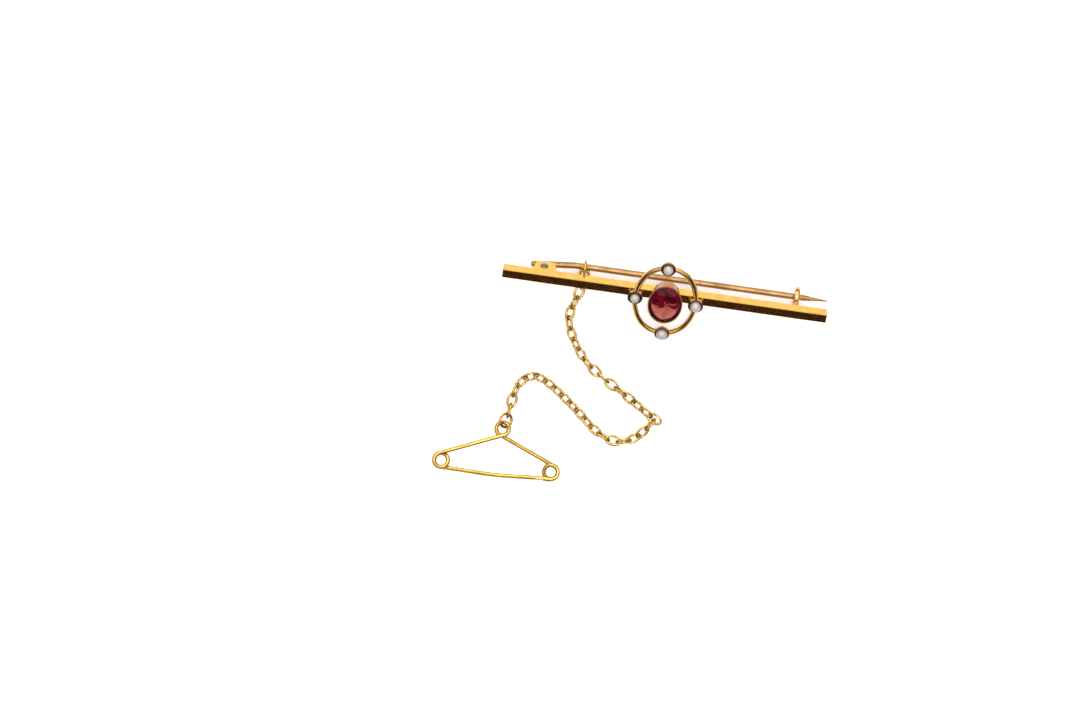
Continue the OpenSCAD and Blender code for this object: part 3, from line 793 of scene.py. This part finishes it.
@dataclass
class Bar:
    """The square bar with its hinge plates, catch and eyelet."""

    finishes: Finishes
    length: float = 46.0
    height: float = 1.4
    depth: float = 1.46
    edge: float = 0.08
    solder: float = 0.1
    hinge_x: float = -17.28
    plate_length: float = 3.34
    plate_reach: float = 1.82
    plate_thick: float = 0.3
    plate_edge: float = 0.04
    plate_corners: tuple[Pair, ...] = (
        (0.533, 0.0), (0.42, 1.0), (-0.27, 1.0), (-0.33, 0.9), (-0.467, 0.0)
    )
    catch_x: float = 18.58
    catch_y: float = 3.25
    catch_z: float = 0.19
    catch_width: float = 0.8
    catch_loop: float = 2.9
    catch_strip: float = 0.33
    catch_fullness: float = 1.15
    catch_narrowing: float = 0.3
    mouth: float = 0.575
    foot_height: float = 0.6
    foot_z: float = -0.05
    foot_edge: float = 0.05
    eyelet_x: float = -11.56
    eyelet_z: float = 0.44
    eyelet_bow: float = 1.9
    eyelet_radius: float = 0.82
    eyelet_wire: float = 0.36

    def build_bar(self) -> BMesh:
        """Builds the square bar with softened edges."""
        return block((self.length, self.depth, self.height), (0, 0, 0), self.edge)

    def build_plates(self) -> BMesh:
        """Builds the two hinge plates, flush with the bar's top and bottom.

        Returns:
            The plates' mesh.
        """
        back = self.depth / 2
        outline = [
            (self.hinge_x + x * self.plate_length, back + y * self.plate_reach)
            for x, y in self.plate_corners
        ]
        outline += [(x, back - self.solder) for x, _ in (outline[-1], outline[0])]
        thick = self.plate_thick
        lows = (-self.height / 2, self.height / 2 - thick)
        return joined([moved(slab(outline, thick, self.plate_edge), at(0, 0, low)) for low in lows])

    def build_catch(self) -> BMesh:
        """Builds the catch: a strip bent to an open loop, on a short foot.

        Returns:
            The catch's mesh.
        """
        mean = (self.catch_loop - self.catch_strip) / 2
        low = math.degrees(math.asin((-self.mouth - self.catch_z) / mean))
        high = math.degrees(math.asin((self.mouth - self.catch_z) / mean))
        half_wide, half_thick = self.catch_width / 2, self.catch_fullness * self.catch_strip / 2
        flat = Matrix.Diagonal((half_wide, half_thick, 1, 1))
        strip = Wire(sides=20, radius=1.0, place=turn(high, "X") @ at(0, mean, 0) @ flat)
        travel = 360 - high + low
        strip.bend((0, 0, 0), ACROSS, travel, steps=56)
        bm = strip.close()
        for vert in bm.verts:
            around = (math.degrees(math.atan2(vert.co.z, vert.co.y)) - high) % 360
            off_middle = abs(2 * min(around, travel) / travel - 1)
            vert.co.x *= 1.0 - self.catch_narrowing * off_middle**2
        moved(bm, at(self.catch_x, self.catch_y, self.catch_z))
        start, end = self.depth / 2 - self.solder, self.catch_y - mean
        size = (self.catch_width, end - start, self.foot_height)
        foot = block(size, (self.catch_x, (start + end) / 2, self.foot_z), self.foot_edge)
        return joined([bm, foot])

    def build_eyelet(self) -> BMesh:
        """Builds the chain's eyelet: a bow of wire on two straight legs.

        Returns:
            The eyelet's mesh.
        """
        start = self.depth / 2 - self.solder
        straight = self.eyelet_bow - self.eyelet_radius - start
        bow = Wire(16, self.eyelet_wire / 2, at(self.eyelet_radius, start, 0) @ TO_FRONT)
        bow.draw((0, straight, 0))
        bow.bend((0, start + straight, 0), UPWARDS, 180, steps=28)
        bow.draw((0, -straight, 0))
        return moved(bow.close(), at(self.eyelet_x, 0, self.eyelet_z))

    def dress(self) -> None:
        """Makes the pieces of the bar."""
        gold = self.finishes.metals[Metal.BAR]
        catch_gold = self.finishes.metals[Metal.CATCH]
        add_piece("square_bar", self.build_bar(), gold, sharp=10.0)
        add_piece("hinge_plates", self.build_plates(), gold, sharp=10.0)
        add_piece("catch_loop", self.build_catch(), catch_gold, sharp=50.0)
        add_piece("chain_eyelet", self.build_eyelet(), gold)


@dataclass
class PearlRing:
    """The oval wire ring, its four cups and their pearls."""

    finishes: Finishes
    wide: float = 8.56
    tall: float = 11.38
    wire: float = 0.74
    middle_x: float = 0.22
    ring_y: float = -1.7
    pearls: tuple[tuple[str, float, float], ...] = (
        ("right", 0.0, 1.64), ("top", 94.0, 1.52), ("left", 180.0, 1.44), ("bottom", 273.5, 1.74)
    )
    cup_width: float = 2.16
    cup_depth: float = 0.9
    cup_wall: float = 0.17
    cup_hollow: float = 0.5
    cup_front: float = -2.1
    hollow_slack: float = 0.01
    cup_back: tuple[Pair, ...] = (
        (0.0, 0.0), (0.5, 0.03), (0.72, 0.11), (0.88, 0.24), (0.97, 0.4), (1.0, 0.54)
    )
    post_width: float = 1.12
    post_sink: float = 0.1
    bar_front: float = -Bar.depth / 2
    plug: float = 2.0
    pearl_sink: float = 0.07
    pearl_flat: float = 0.4
    pearl_shape: Point = (0.99, 1.0, 0.985)

    def cups(self) -> dict[str, Point]:
        """Finds the cups round the ring.

        Returns:
            Each cup's X, Z and pearl width by its side's name.
        """
        places = {}
        for side, degrees, width in self.pearls:
            angle = math.radians(degrees)
            x = self.middle_x + self.wide / 2 * math.cos(angle)
            places[side] = (x, self.tall / 2 * math.sin(angle), width)
        return places

    def build_cups(self) -> BMesh:
        """Builds the four cups with rolled rims, and the posts behind two of them.

        Returns:
            The cups' mesh.
        """
        outer = self.cup_width / 2
        inner, top = outer - self.cup_wall, self.cup_depth
        floor = top - self.cup_hollow
        ease_by = self.cup_wall / 3
        profile = [(share * outer, height) for share, height in self.cup_back] + [
            (outer, top - 2 * ease_by), (outer - ease_by / 2, top - ease_by / 2),
            (outer - 1.5 * ease_by, top), (inner + ease_by / 2, top - ease_by / 2),
            (inner, top - 1.5 * ease_by), (inner, floor), (0.0, floor),
        ]
        back_y = self.cup_front + top
        radius = self.post_width / 2
        long = self.bar_front - back_y + 2 * self.post_sink
        parts = []
        for side, (x, z, _) in self.cups().items():
            parts.append(moved(turned(profile), at(x, back_y, z) @ TO_FRONT))
            if side in ("left", "right"):
                post = turned([(0, 0), (radius, 0), (radius, long), (0, long)])
                parts.append(moved(post, at(x, self.bar_front + self.post_sink, z) @ TO_FRONT))
        return joined(parts)

    def build_plugs(self) -> BMesh:
        """Builds plugs that clear the ring's wire out of the cups' hollows.

        Returns:
            The plugs' mesh.
        """
        radius = (self.cup_width - self.cup_wall) / 2
        profile = [(0, 0), (radius, 0), (radius, self.plug), (0, self.plug)]
        floor_y = self.cup_front + self.cup_hollow
        spots = [at(x, floor_y, z) for x, z, _ in self.cups().values()]
        return joined([moved(turned(profile), spot @ TO_FRONT) for spot in spots])

    def build_pearl(self, width: float) -> BMesh:
        """Builds a slightly uneven pearl with a flat back, facing up Z.

        Args:
            width: The pearl's width.

        Returns:
            The pearl's mesh.
        """
        bm = bmesh.new()
        bmesh.ops.create_uvsphere(bm, u_segments=40, v_segments=24, radius=width / 2)
        bmesh.ops.scale(bm, vec=self.pearl_shape, verts=bm.verts)
        everything = list(bm.verts) + list(bm.edges) + list(bm.faces)
        back = {"plane_co": (0, 0, -self.pearl_flat), "plane_no": (0, 0, -1)}
        bmesh.ops.bisect_plane(bm, geom=everything, clear_outer=True, **back)
        cap(bm)
        return bm

    def tarnish_hollows(self, cups: bpy.types.Object) -> None:
        """Gives the inside and the front of each cup the dark finish.

        Args:
            cups: The cups' piece.
        """
        cups.data.materials.append(self.finishes.metals[Metal.TARNISH])
        to_brooch = LEANING.inverted()
        rim_y = self.cup_front + self.cup_wall / 2
        floor_y = self.cup_front + self.cup_hollow + self.hollow_slack
        radius = self.cup_width / 2 - self.cup_wall / 2
        for face in cups.data.polygons:
            spot = to_brooch @ face.center
            near = min(math.hypot(spot.x - x, spot.z - z) for x, z, _ in self.cups().values())
            if spot.y < rim_y or (near < radius and spot.y < floor_y):
                face.material_index = 1

    def dress(self) -> None:
        """Makes the ring, the cups and the pearls."""
        gold = self.finishes.metals[Metal.RING]
        upright = at(self.middle_x, self.ring_y, 0) @ TO_FRONT @ turn(90, "Z")
        loop = oval_wire(self.tall, self.wide, self.wire, steps=(14, 12), sides=20)
        wire = add_piece("oval_ring", loop, gold, LEANING @ upright)
        cut_away(wire, moved(self.build_plugs(), LEANING))
        self.tarnish_hollows(add_piece("pearl_cups", self.build_cups(), gold))
        for side, (x, z, width) in self.cups().items():
            place = LEANING @ at(x, self.cup_front + self.pearl_sink, z) @ TO_FRONT
            ride = Ride(Slot.PEARL, (f"pearl_{side}",))
            pearl = self.build_pearl(width)
            add_piece(f"seed_pearl_{side}", pearl, self.finishes.pearl, place, ride, sharp=60.0)


@dataclass
class Cluster:
    """The garnet in its tall collet."""

    finishes: Finishes
    middle_x: float = PearlRing.middle_x
    rim_wide: float = 4.85
    rim_tall: float = 6.5
    wall: float = 0.18
    foot_wall: float = 2.8
    taper: float = 0.82
    rim_inset: float = 0.02
    rim_y: float = -2.7
    back_y: float = -0.63
    girdle_y: float = -2.45
    girdle: float = 0.08
    ledge: float = 0.95
    ledge_deep: float = 0.1
    crown: float = 0.5
    pavilion: float = 1.4
    table: float = 0.6
    star: float = 0.82
    star_high: float = 0.6
    culet: float = 0.42
    culet_deep: float = 0.66
    play: float = 0.03
    grains: int = 70
    grain: float = 0.11
    grain_sink: float = 0.1

    def oval(self, bm: BMesh, wide: float, tall: float, y: float) -> Geometry:
        """Adds an oval of edges that faces the front.

        Args:
            bm: The mesh.
            wide: The oval's width.
            tall: Its height.
            y: Its place from front to back.

        Returns:
            The oval's edges.
        """
        shape = at(0, y, 0) @ TO_FRONT @ Matrix.Diagonal((wide / 2, tall / 2, 1, 1))
        new = bmesh.ops.create_circle(bm, cap_ends=False, segments=96, radius=1.0, matrix=shape)
        return list({edge for vert in new["verts"] for edge in vert.link_edges})

    def build_collet(self) -> BMesh:
        """Builds the collet's wall from ovals: outside, rim, seat and inside.

        Returns:
            The collet's mesh.
        """
        bm = bmesh.new()
        rim = np.array((self.rim_wide, self.rim_tall))
        inner = rim - 2 * self.wall
        stone = inner - 2 * self.play
        back = rim * self.taper
        seat = self.girdle_y + self.girdle
        ease_by = self.wall / 4
        rings = [
            (back, self.back_y),
            (rim - self.rim_inset, self.rim_y + 2 * ease_by),
            (rim, self.rim_y + ease_by),
            (rim - 2 * ease_by, self.rim_y),
            (inner + 2 * ease_by, self.rim_y),
            (inner, self.rim_y + ease_by),
            (inner, seat),
            (stone * self.ledge, seat + self.ledge_deep),
            (back - self.foot_wall * self.wall, self.back_y),
        ]
        ovals = [self.oval(bm, *size, y) for size, y in rings]
        for one, two in zip(ovals, ovals[1:] + ovals[:1]):
            bmesh.ops.bridge_loops(bm, edges=one + two)
        return bm

    def build_grains(self) -> BMesh:
        """Builds the row of raised grains along the collet's rim.

        Returns:
            The grains' mesh.
        """
        bm = bmesh.new()
        for i in range(self.grains):
            angle = math.tau * i / self.grains
            x = (self.rim_wide - self.wall) / 2 * math.cos(angle)
            z = (self.rim_tall - self.wall) / 2 * math.sin(angle)
            spot = at(x, self.rim_y + self.grain_sink * self.grain, z)
            bmesh.ops.create_icosphere(bm, subdivisions=2, radius=self.grain, matrix=spot)
        return bm

    def build_stone(self) -> BMesh:
        """Builds the cut stone: rows of corners that a hull joins with flat facets.

        Returns:
            The stone's mesh.
        """
        wide = self.rim_wide - 2 * (self.wall + self.play)
        tall = self.rim_tall - 2 * (self.wall + self.play)
        low = self.girdle_y + self.girdle
        # Number of corners, size as a share of the girdle, place and turn of each row
        rows = [
            (8, self.table, self.girdle_y - self.crown, 22.5),
            (8, self.star, self.girdle_y - self.star_high * self.crown, 0.0),
            (16, 1.0, self.girdle_y, 0.0),
            (16, 1.0, low, 0.0),
            (8, self.culet, low + self.culet_deep * self.pavilion, 22.5),
        ]
        bm = bmesh.new()
        for sides, share, y, start in rows:
            size = Matrix.Diagonal((wide / 2 * share, tall / 2 * share, 1, 1))
            shape = at(0, y, 0) @ TO_FRONT @ size @ turn(start, "Z")
            bmesh.ops.create_circle(bm, cap_ends=False, segments=sides, radius=1.0, matrix=shape)
        bm.verts.new((0, low + self.pavilion, 0))
        bmesh.ops.delete(bm, geom=list(bm.edges), context="EDGES_FACES")
        bmesh.ops.convex_hull(bm, input=list(bm.verts))
        flat = {"angle_limit": math.radians(1.0), "verts": bm.verts, "edges": bm.edges}
        bmesh.ops.dissolve_limit(bm, **flat)
        return bm

    def dress(self) -> None:
        """Makes the collet, its grains and the garnet."""
        place = LEANING @ at(self.middle_x, 0, 0)
        rose = self.finishes.metals[Metal.COLLET]
        add_piece("stone_collet", self.build_collet(), rose, place)
        add_piece("collet_grains", self.build_grains(), rose, place)
        ride = Ride(Slot.GARNET, ("garnet",))
        add_piece("cut_garnet", self.build_stone(), self.finishes.garnet, place, ride, sharp=1.0)


@dataclass
class HingedPin:
    """The rivet and the long pin that turns on it."""

    finishes: Finishes
    hinge_x: float = Bar.hinge_x
    hinge_y: float = 1.49
    stem_y: float = 3.48
    bend_x: float = -13.08
    bend_radius: float = 3.0
    wire: float = 0.91
    tail: float = 6.2015
    tail_angle: float = 9.3
    tail_end: float = 0.62
    tail_swell: float = 1.35
    tail_steps: Pair = (0.1, 0.12)
    flat: float = 0.68
    flat_end: float = 2.004
    flat_run: float = 0.08
    thin: float = 0.82
    thin_x: float = 16.76
    point_x: float = 19.7
    point: float = 0.12
    point_steps: tuple[Pair, ...] = ((0.04, 0.6), (0.02, 0.2))
    tip_x: float = 23.2
    eye: float = 0.64
    eye_play: float = 0.03
    web: float = 1.6
    web_inset: float = 0.02
    shank: float = 0.7
    head: float = 1.14
    dome: tuple[Pair, ...] = (
        (0.0, 0.92), (0.16, 0.908), (0.32, 0.873), (0.46, 0.823), (0.54, 0.782)
    )
    head_edge: float = 0.75
    head_under: float = 0.72

    def build_rivet(self) -> BMesh:
        """Builds the rivet with two low domed heads.

        Returns:
            The rivet's mesh.
        """
        edge, under = self.head_edge, self.head_under
        half = [*self.dome, (self.head / 2, edge), (self.head / 2, under), (self.shank / 2, under)]
        return turned(half + [(x, -z) for x, z in reversed(half)], steps=40)

    def build_stem(self) -> BMesh:
        """Builds the pin's wire: filed tail, gentle bend, long stem and point.

        Returns:
            The wire's mesh.
        """
        angle = math.radians(self.tail_angle)
        way = Vector((math.cos(angle), math.sin(angle), 0.0))
        bend = Vector((self.bend_x, self.stem_y, 0.0))
        reach = self.bend_radius * math.tan(angle / 2)
        start = bend - way * self.tail
        lie = Matrix.Translation(start) @ turn(self.tail_angle, "Z") @ turn(90, "Y")
        wire = Wire(24, self.tail_end * self.wire / 2, lie)
        first, second = self.tail_steps
        wire.draw(way * first, self.tail_swell)
        wire.draw(way * second, 1.0 / (self.tail_end * self.tail_swell))
        filed = (self.hinge_x + self.flat_end - start.x) / way.x - first - second
        wire.draw(way * filed)
        for vert in wire.bm.verts:
            vert.co.z = max(-self.flat / 2, min(self.flat / 2, vert.co.z))
        wire.draw(way * self.flat_run)
        self.round_off(only_verts(wire.end), way)
        wire.draw(way * (self.tail - reach - first - second - filed - self.flat_run))
        side = Vector((way.y, -way.x, 0.0))
        centre = bend - way * reach + side * self.bend_radius
        wire.bend(centre, (0, 0, -1), self.tail_angle, steps=8)
        blunt = sum(step for step, _ in self.point_steps)
        runs = [
            (self.thin_x - self.bend_x - reach, 1.0),
            (self.point_x - self.thin_x, self.thin / self.wire),
            (self.tip_x - self.point_x - blunt, self.point / self.thin),
            *self.point_steps,
        ]
        for step, swell in runs:
            wire.draw((step, 0, 0), swell)
        return wire.close()

    def round_off(self, rim: list[Vert], way: Vector) -> None:
        """Puts a filed section's corners back onto the round wire.

        Args:
            rim: The section's corners.
            way: The way that the wire runs.
        """
        centre = middle_of(rim)
        for vert in rim:
            out = vert.co - centre
            out -= way * out.dot(way)
            vert.co = centre + out.normalized() * self.wire / 2

    def build_eye(self) -> BMesh:
        """Builds the pin's eye round the rivet and the web that joins it to the wire.

        Returns:
            The mesh of both.
        """
        bore, high = self.shank / 2 + self.eye_play, self.flat / 2
        profile = [(bore, -high), (self.eye, -high), (self.eye, high), (bore, high), (bore, -high)]
        eye = moved(turned(profile, steps=40), at(self.hinge_x, self.hinge_y, 0))
        slope = math.tan(math.radians(self.tail_angle))
        deep = self.stem_y - (self.bend_x - self.hinge_x) * slope - self.hinge_y
        size = (self.web * self.eye, deep - bore, self.flat - self.web_inset)
        middle = (self.hinge_x, self.hinge_y + (deep + bore) / 2, 0)
        return joined([eye, block(size, middle, self.web_inset)])

    def dress(self) -> None:
        """Makes the rivet and the pin."""
        place = LEANING @ at(self.hinge_x, self.hinge_y, 0)
        metals = self.finishes.metals
        ride = Ride(Slot.RIVET, ("hinge_rivet",))
        add_piece("domed_rivet", self.build_rivet(), metals[Metal.RIVET], place, ride)
        pin = joined([self.build_stem(), self.build_eye()])
        ride = Ride(Slot.PIN_GOLD, ("pin_stem",), Body.PIN)
        add_piece("long_pin", pin, metals[Metal.PIN], ride=ride)


@dataclass
class SafetyChain:
    """The two jump rings and the chain of oval links between them."""

    finishes: Finishes
    links: int = 37
    link_long: float = 2.0
    link_wide: float = 1.22
    link_wire: float = 0.35
    link_lift: float = 0.036
    ring_radius: float = 0.965
    ring_wire: float = 0.35

    def build_ring(self) -> BMesh:
        """Builds a round jump ring about Z."""
        wire = Wire(16, self.ring_wire / 2, at(self.ring_radius, 0, 0) @ TO_FRONT)
        return spun_full(wire.bm, wire.end, steps=64)

    def build_link(self) -> BMesh:
        """Builds an oval wire link, long in X."""
        size = (self.link_long, self.link_wide, self.link_wire)
        return oval_wire(*size, steps=(7, 6), sides=12)

    def add(self, name: str, bm: BMesh, node: str, lift: float = 0.0) -> None:
        """Adds a ring or a link where its solid lies, or a lift above it."""
        place = at(0, 0, lift * MM) @ node_place(node) @ TO_METRES
        add_piece(name, bm, self.finishes.metals[Metal.CHAIN], place, Ride(Slot.CHAIN, (node,)))

    def dress(self) -> None:
        """Makes the rings and the links."""
        for node in ("eyelet_ring", "end_ring"):
            self.add(f"jump_{node}", self.build_ring(), node)
        for i in range(1, self.links + 1):
            self.add(f"oval_link_{i:02d}", self.build_link(), f"chain_link_{i:02d}", self.link_lift)


@dataclass
class SafetyPin:
    """The small safety pin: one wire with two coils and a top loop, and a cap for its point."""

    finishes: Finishes
    place: Point = (-27.8954, -27.5401, 0.0)
    heading: float = 1.7
    span: float = 15.6
    wire: float = 0.56
    coil: float = 1.0
    coil_turn: float = 540.0
    coil_steepness: float = 1.1
    coil_steps: int = 72
    loop: float = 0.92
    loop_along: float = 8.15
    loop_up: float = 5.33
    loop_steps: int = 48
    low: float = 0.28
    high: float = 0.92
    loop_high: float = 1.02
    bow: float = 0.25
    bow_steps: int = 28
    tip_in_cap: float = 0.3
    tip: float = 0.26
    taper: float = 1.8
    cap_long: float = 1.0
    cap_over: float = 0.15
    cap_width: float = 0.7
    cap_wall: float = 0.08
    cap_ease: float = 0.1
    cap_lip: float = 0.03
    cap_deep: float = 0.8

    def rise(self, degrees: float, high: float) -> float:
        """Returns the height after some degrees of a half turn's climb from low to high."""
        share = (1 - math.cos(math.radians(max(0.0, min(180.0, degrees))))) / 2
        return self.low + (high - self.low) * share

    def curl(self, middle: Pair, start: float, travel: float) -> list[Point]:
        """Bends one coil, clockwise and rising as it goes.

        Args:
            middle: The coil's middle.
            start: The angle in degrees at which it starts.
            travel: How many degrees it goes round.

        Returns:
            The points of its wire.
        """
        spots = []
        for k in range(self.coil_steps + 1):
            around = k / self.coil_steps * travel
            angle = math.radians(start - around)
            z = self.rise((around - 180.0) * self.coil_steepness, self.high)
            x, y = middle[0] + self.coil * math.cos(angle), middle[1] + self.coil * math.sin(angle)
            spots.append((x, y, z))
        return spots

    def path(self) -> list[tuple[Point, float]]:
        """Lays the wire's path.

        Returns:
            The wire's points and radii from its point to its far end.
        """
        top, right = Vector((self.loop_along, self.loop_up)), Vector((self.span, 0.0))
        both = self.coil + self.loop
        left_arm = math.degrees(math.atan2(top.y, top.x) - math.asin(both / top.length))
        over = right - top
        right_arm = math.degrees(math.atan2(over.y, over.x) + math.asin(both / over.length))
        full, sharp = self.wire / 2, self.tip / 2
        points: list[tuple[Point, float]] = []
        for k in range(self.bow_steps):
            t = k / self.bow_steps
            radius = sharp + (full - sharp) * min(1.0, t * self.span / self.taper)
            y = -self.coil - self.bow * (1 - math.cos(math.tau * t)) / 2
            z = self.high + (self.low - self.high) * t
            points.append((((self.span - self.tip_in_cap) * (1 - t), y, z), radius))
        spots = self.curl((0.0, 0.0), -90, self.coil_turn - left_arm)
        for k in range(self.loop_steps + 1):
            polar = left_arm - 90 + k / self.loop_steps * (360 + right_arm - left_arm)
            angle = math.radians(polar)
            x, y = top.x + self.loop * math.cos(angle), top.y + self.loop * math.sin(angle)
            spots.append((x, y, self.rise(180.0 - polar, self.loop_high)))
        spots += self.curl((self.span, 0.0), right_arm + 90, self.coil_turn + right_arm)
        return points + [(spot, full) for spot in spots]

    def build_wire(self) -> BMesh:
        """Draws the wire along its path as a curve.

        Returns:
            The wire's mesh.
        """
        curve = bpy.data.curves.new("pin_wire_path", "CURVE")
        curve.dimensions, curve.use_fill_caps = "3D", True
        curve.bevel_depth, curve.bevel_resolution = 1.0, 4
        spline = curve.splines.new("POLY")
        points = self.path()
        spline.points.add(len(points) - 1)
        for point, (spot, radius) in zip(spline.points, points):
            point.co = (*spot, 1.0)
            point.radius = radius
        drawn_wire = bpy.data.objects.new("pin_wire_path", curve)
        mesh = bpy.data.meshes.new_from_object(drawn_wire)
        bm = bmesh.new()
        bm.from_mesh(mesh)
        bpy.data.objects.remove(drawn_wire)
        bpy.data.curves.remove(curve)
        bpy.data.meshes.remove(mesh)
        return bm

    def build_cap(self) -> BMesh:
        """Builds the cap that holds the pin's point.

        Returns:
            The cap's mesh.
        """
        outer = self.cap_width / 2
        inner = outer - self.cap_wall
        full = self.cap_long + self.cap_over
        profile = [
            (0, full), (outer - self.cap_ease, full), (outer, full - self.cap_ease),
            (outer, self.cap_lip), (outer - self.cap_lip, 0), (inner, 0),
            (inner, self.cap_deep), (0, self.cap_deep),
        ]
        place = at(self.span - self.cap_long, -self.coil, self.high) @ turn(90, "Y")
        return moved(turned(profile, steps=32), place)

    def dress(self) -> None:
        """Makes the safety pin's wire and cap."""
        place = LYING @ at(*self.place) @ turn(self.heading, "Z")
        ride = Ride(Slot.CHAIN, ("safety_pin",))
        gold = self.finishes.metals[Metal.CHAIN]
        add_piece("safety_pin_wire", self.build_wire(), gold, place, ride)
        add_piece("safety_pin_cap", self.build_cap(), gold, place, ride)


@dataclass(frozen=True)
class Lamp:
    """A square soft lamp: its place and the length of its side in metres, and its watts."""

    name: str
    spot: Point
    size: float
    power: float


@dataclass
class Studio:
    """The pale sheet, the soft light and the camera."""

    finishes: Finishes
    azimuth: float = 8.1
    elevation: float = 86.0
    distance: float = 0.4
    target: Point = (-0.013072, 0.000977, 0.0)
    lens: float = 94.03
    film: float = 36.0
    nearest: float = 0.01
    sheet: float = 4.0
    dim_wall: Tone = (0.042, 0.022, 0.02)
    bright_roof: Tone = (1.4, 1.39, 1.37)
    roof_way: Point = (-0.05, 0.2, 1.0)
    roof_span: Pair = (0.25, 0.8)
    lamps: tuple[Lamp, ...] = (
        Lamp("back_lamp", (-0.15, 0.45, 0.55), 0.35, 1.2),
        Lamp("small_lamp", (0.05, -0.04, 0.55), 0.12, 0.6),
    )

    def place_camera(self) -> None:
        """Places the camera at the photograph's angle."""
        a, e = math.radians(self.azimuth), math.radians(self.elevation)
        look = Vector((-math.sin(a) * math.cos(e), math.cos(a) * math.cos(e), -math.sin(e)))
        right = Vector((math.cos(a), math.sin(a), 0.0))
        data = bpy.data.cameras.new("photo_camera")
        data.lens = self.lens
        data.sensor_width = self.film
        data.clip_start = self.nearest
        camera = in_scene("photo_camera", data)
        pose = Matrix((right, right.cross(look), -look)).transposed().to_4x4()
        camera.matrix_world = Matrix.Translation(Vector(self.target) - look * self.distance) @ pose
        bpy.context.scene.camera = camera

    def lay_sheet(self) -> None:
        """Lays the pale sheet under the brooch."""
        bm = bmesh.new()
        bmesh.ops.create_grid(bm, x_segments=2, y_segments=2, size=self.sheet / 2)
        sheet = in_scene("pale_sheet", as_mesh("pale_sheet", bm))
        sheet.data.materials.append(self.finishes.sheet)

    def light_room(self) -> None:
        """Lights the room: bright overhead, a little more so behind, and dim along its walls."""
        world = bpy.data.worlds.new("soft_room")
        bpy.context.scene.world = world
        world.use_nodes = True
        nodes = Nodes(world.node_tree)
        way = nodes.add("ShaderNodeTexCoord").outputs["Generated"]
        share = nodes.ramp(nodes.dot(way, self.roof_way), self.roof_span)
        room = nodes.mix(share, self.dim_wall, self.bright_roof)
        nodes.feed(world.node_tree.nodes["Background"], {"Color": room})

    def hang_lamps(self) -> None:
        """Hangs the lamps, which face the brooch."""
        for lamp in self.lamps:
            data = bpy.data.lights.new(lamp.name, "AREA")
            data.size = lamp.size
            data.energy = lamp.power
            light = in_scene(lamp.name, data)
            light.location = lamp.spot
            light.rotation_euler = (-Vector(lamp.spot)).to_track_quat("-Z", "Y").to_euler()

    def build(self) -> None:
        """Makes the camera, the sheet and the light."""
        bpy.context.scene.view_settings.view_transform = "Standard"
        self.place_camera()
        self.lay_sheet()
        self.light_room()
        self.hang_lamps()


def main() -> None:
    """Builds the brooch and its studio, one sub-assembly after another."""
    logging.basicConfig(level=logging.INFO, format="%(name)s: %(message)s")
    finishes = Finishes((Cluster.middle_x, Cluster.girdle_y, 0.0))
    Studio(finishes).build()
    for assembly in (Bar, PearlRing, Cluster, HingedPin, SafetyChain, SafetyPin):
        assembly(finishes).dress()


if __name__ == "__main__":
    main()
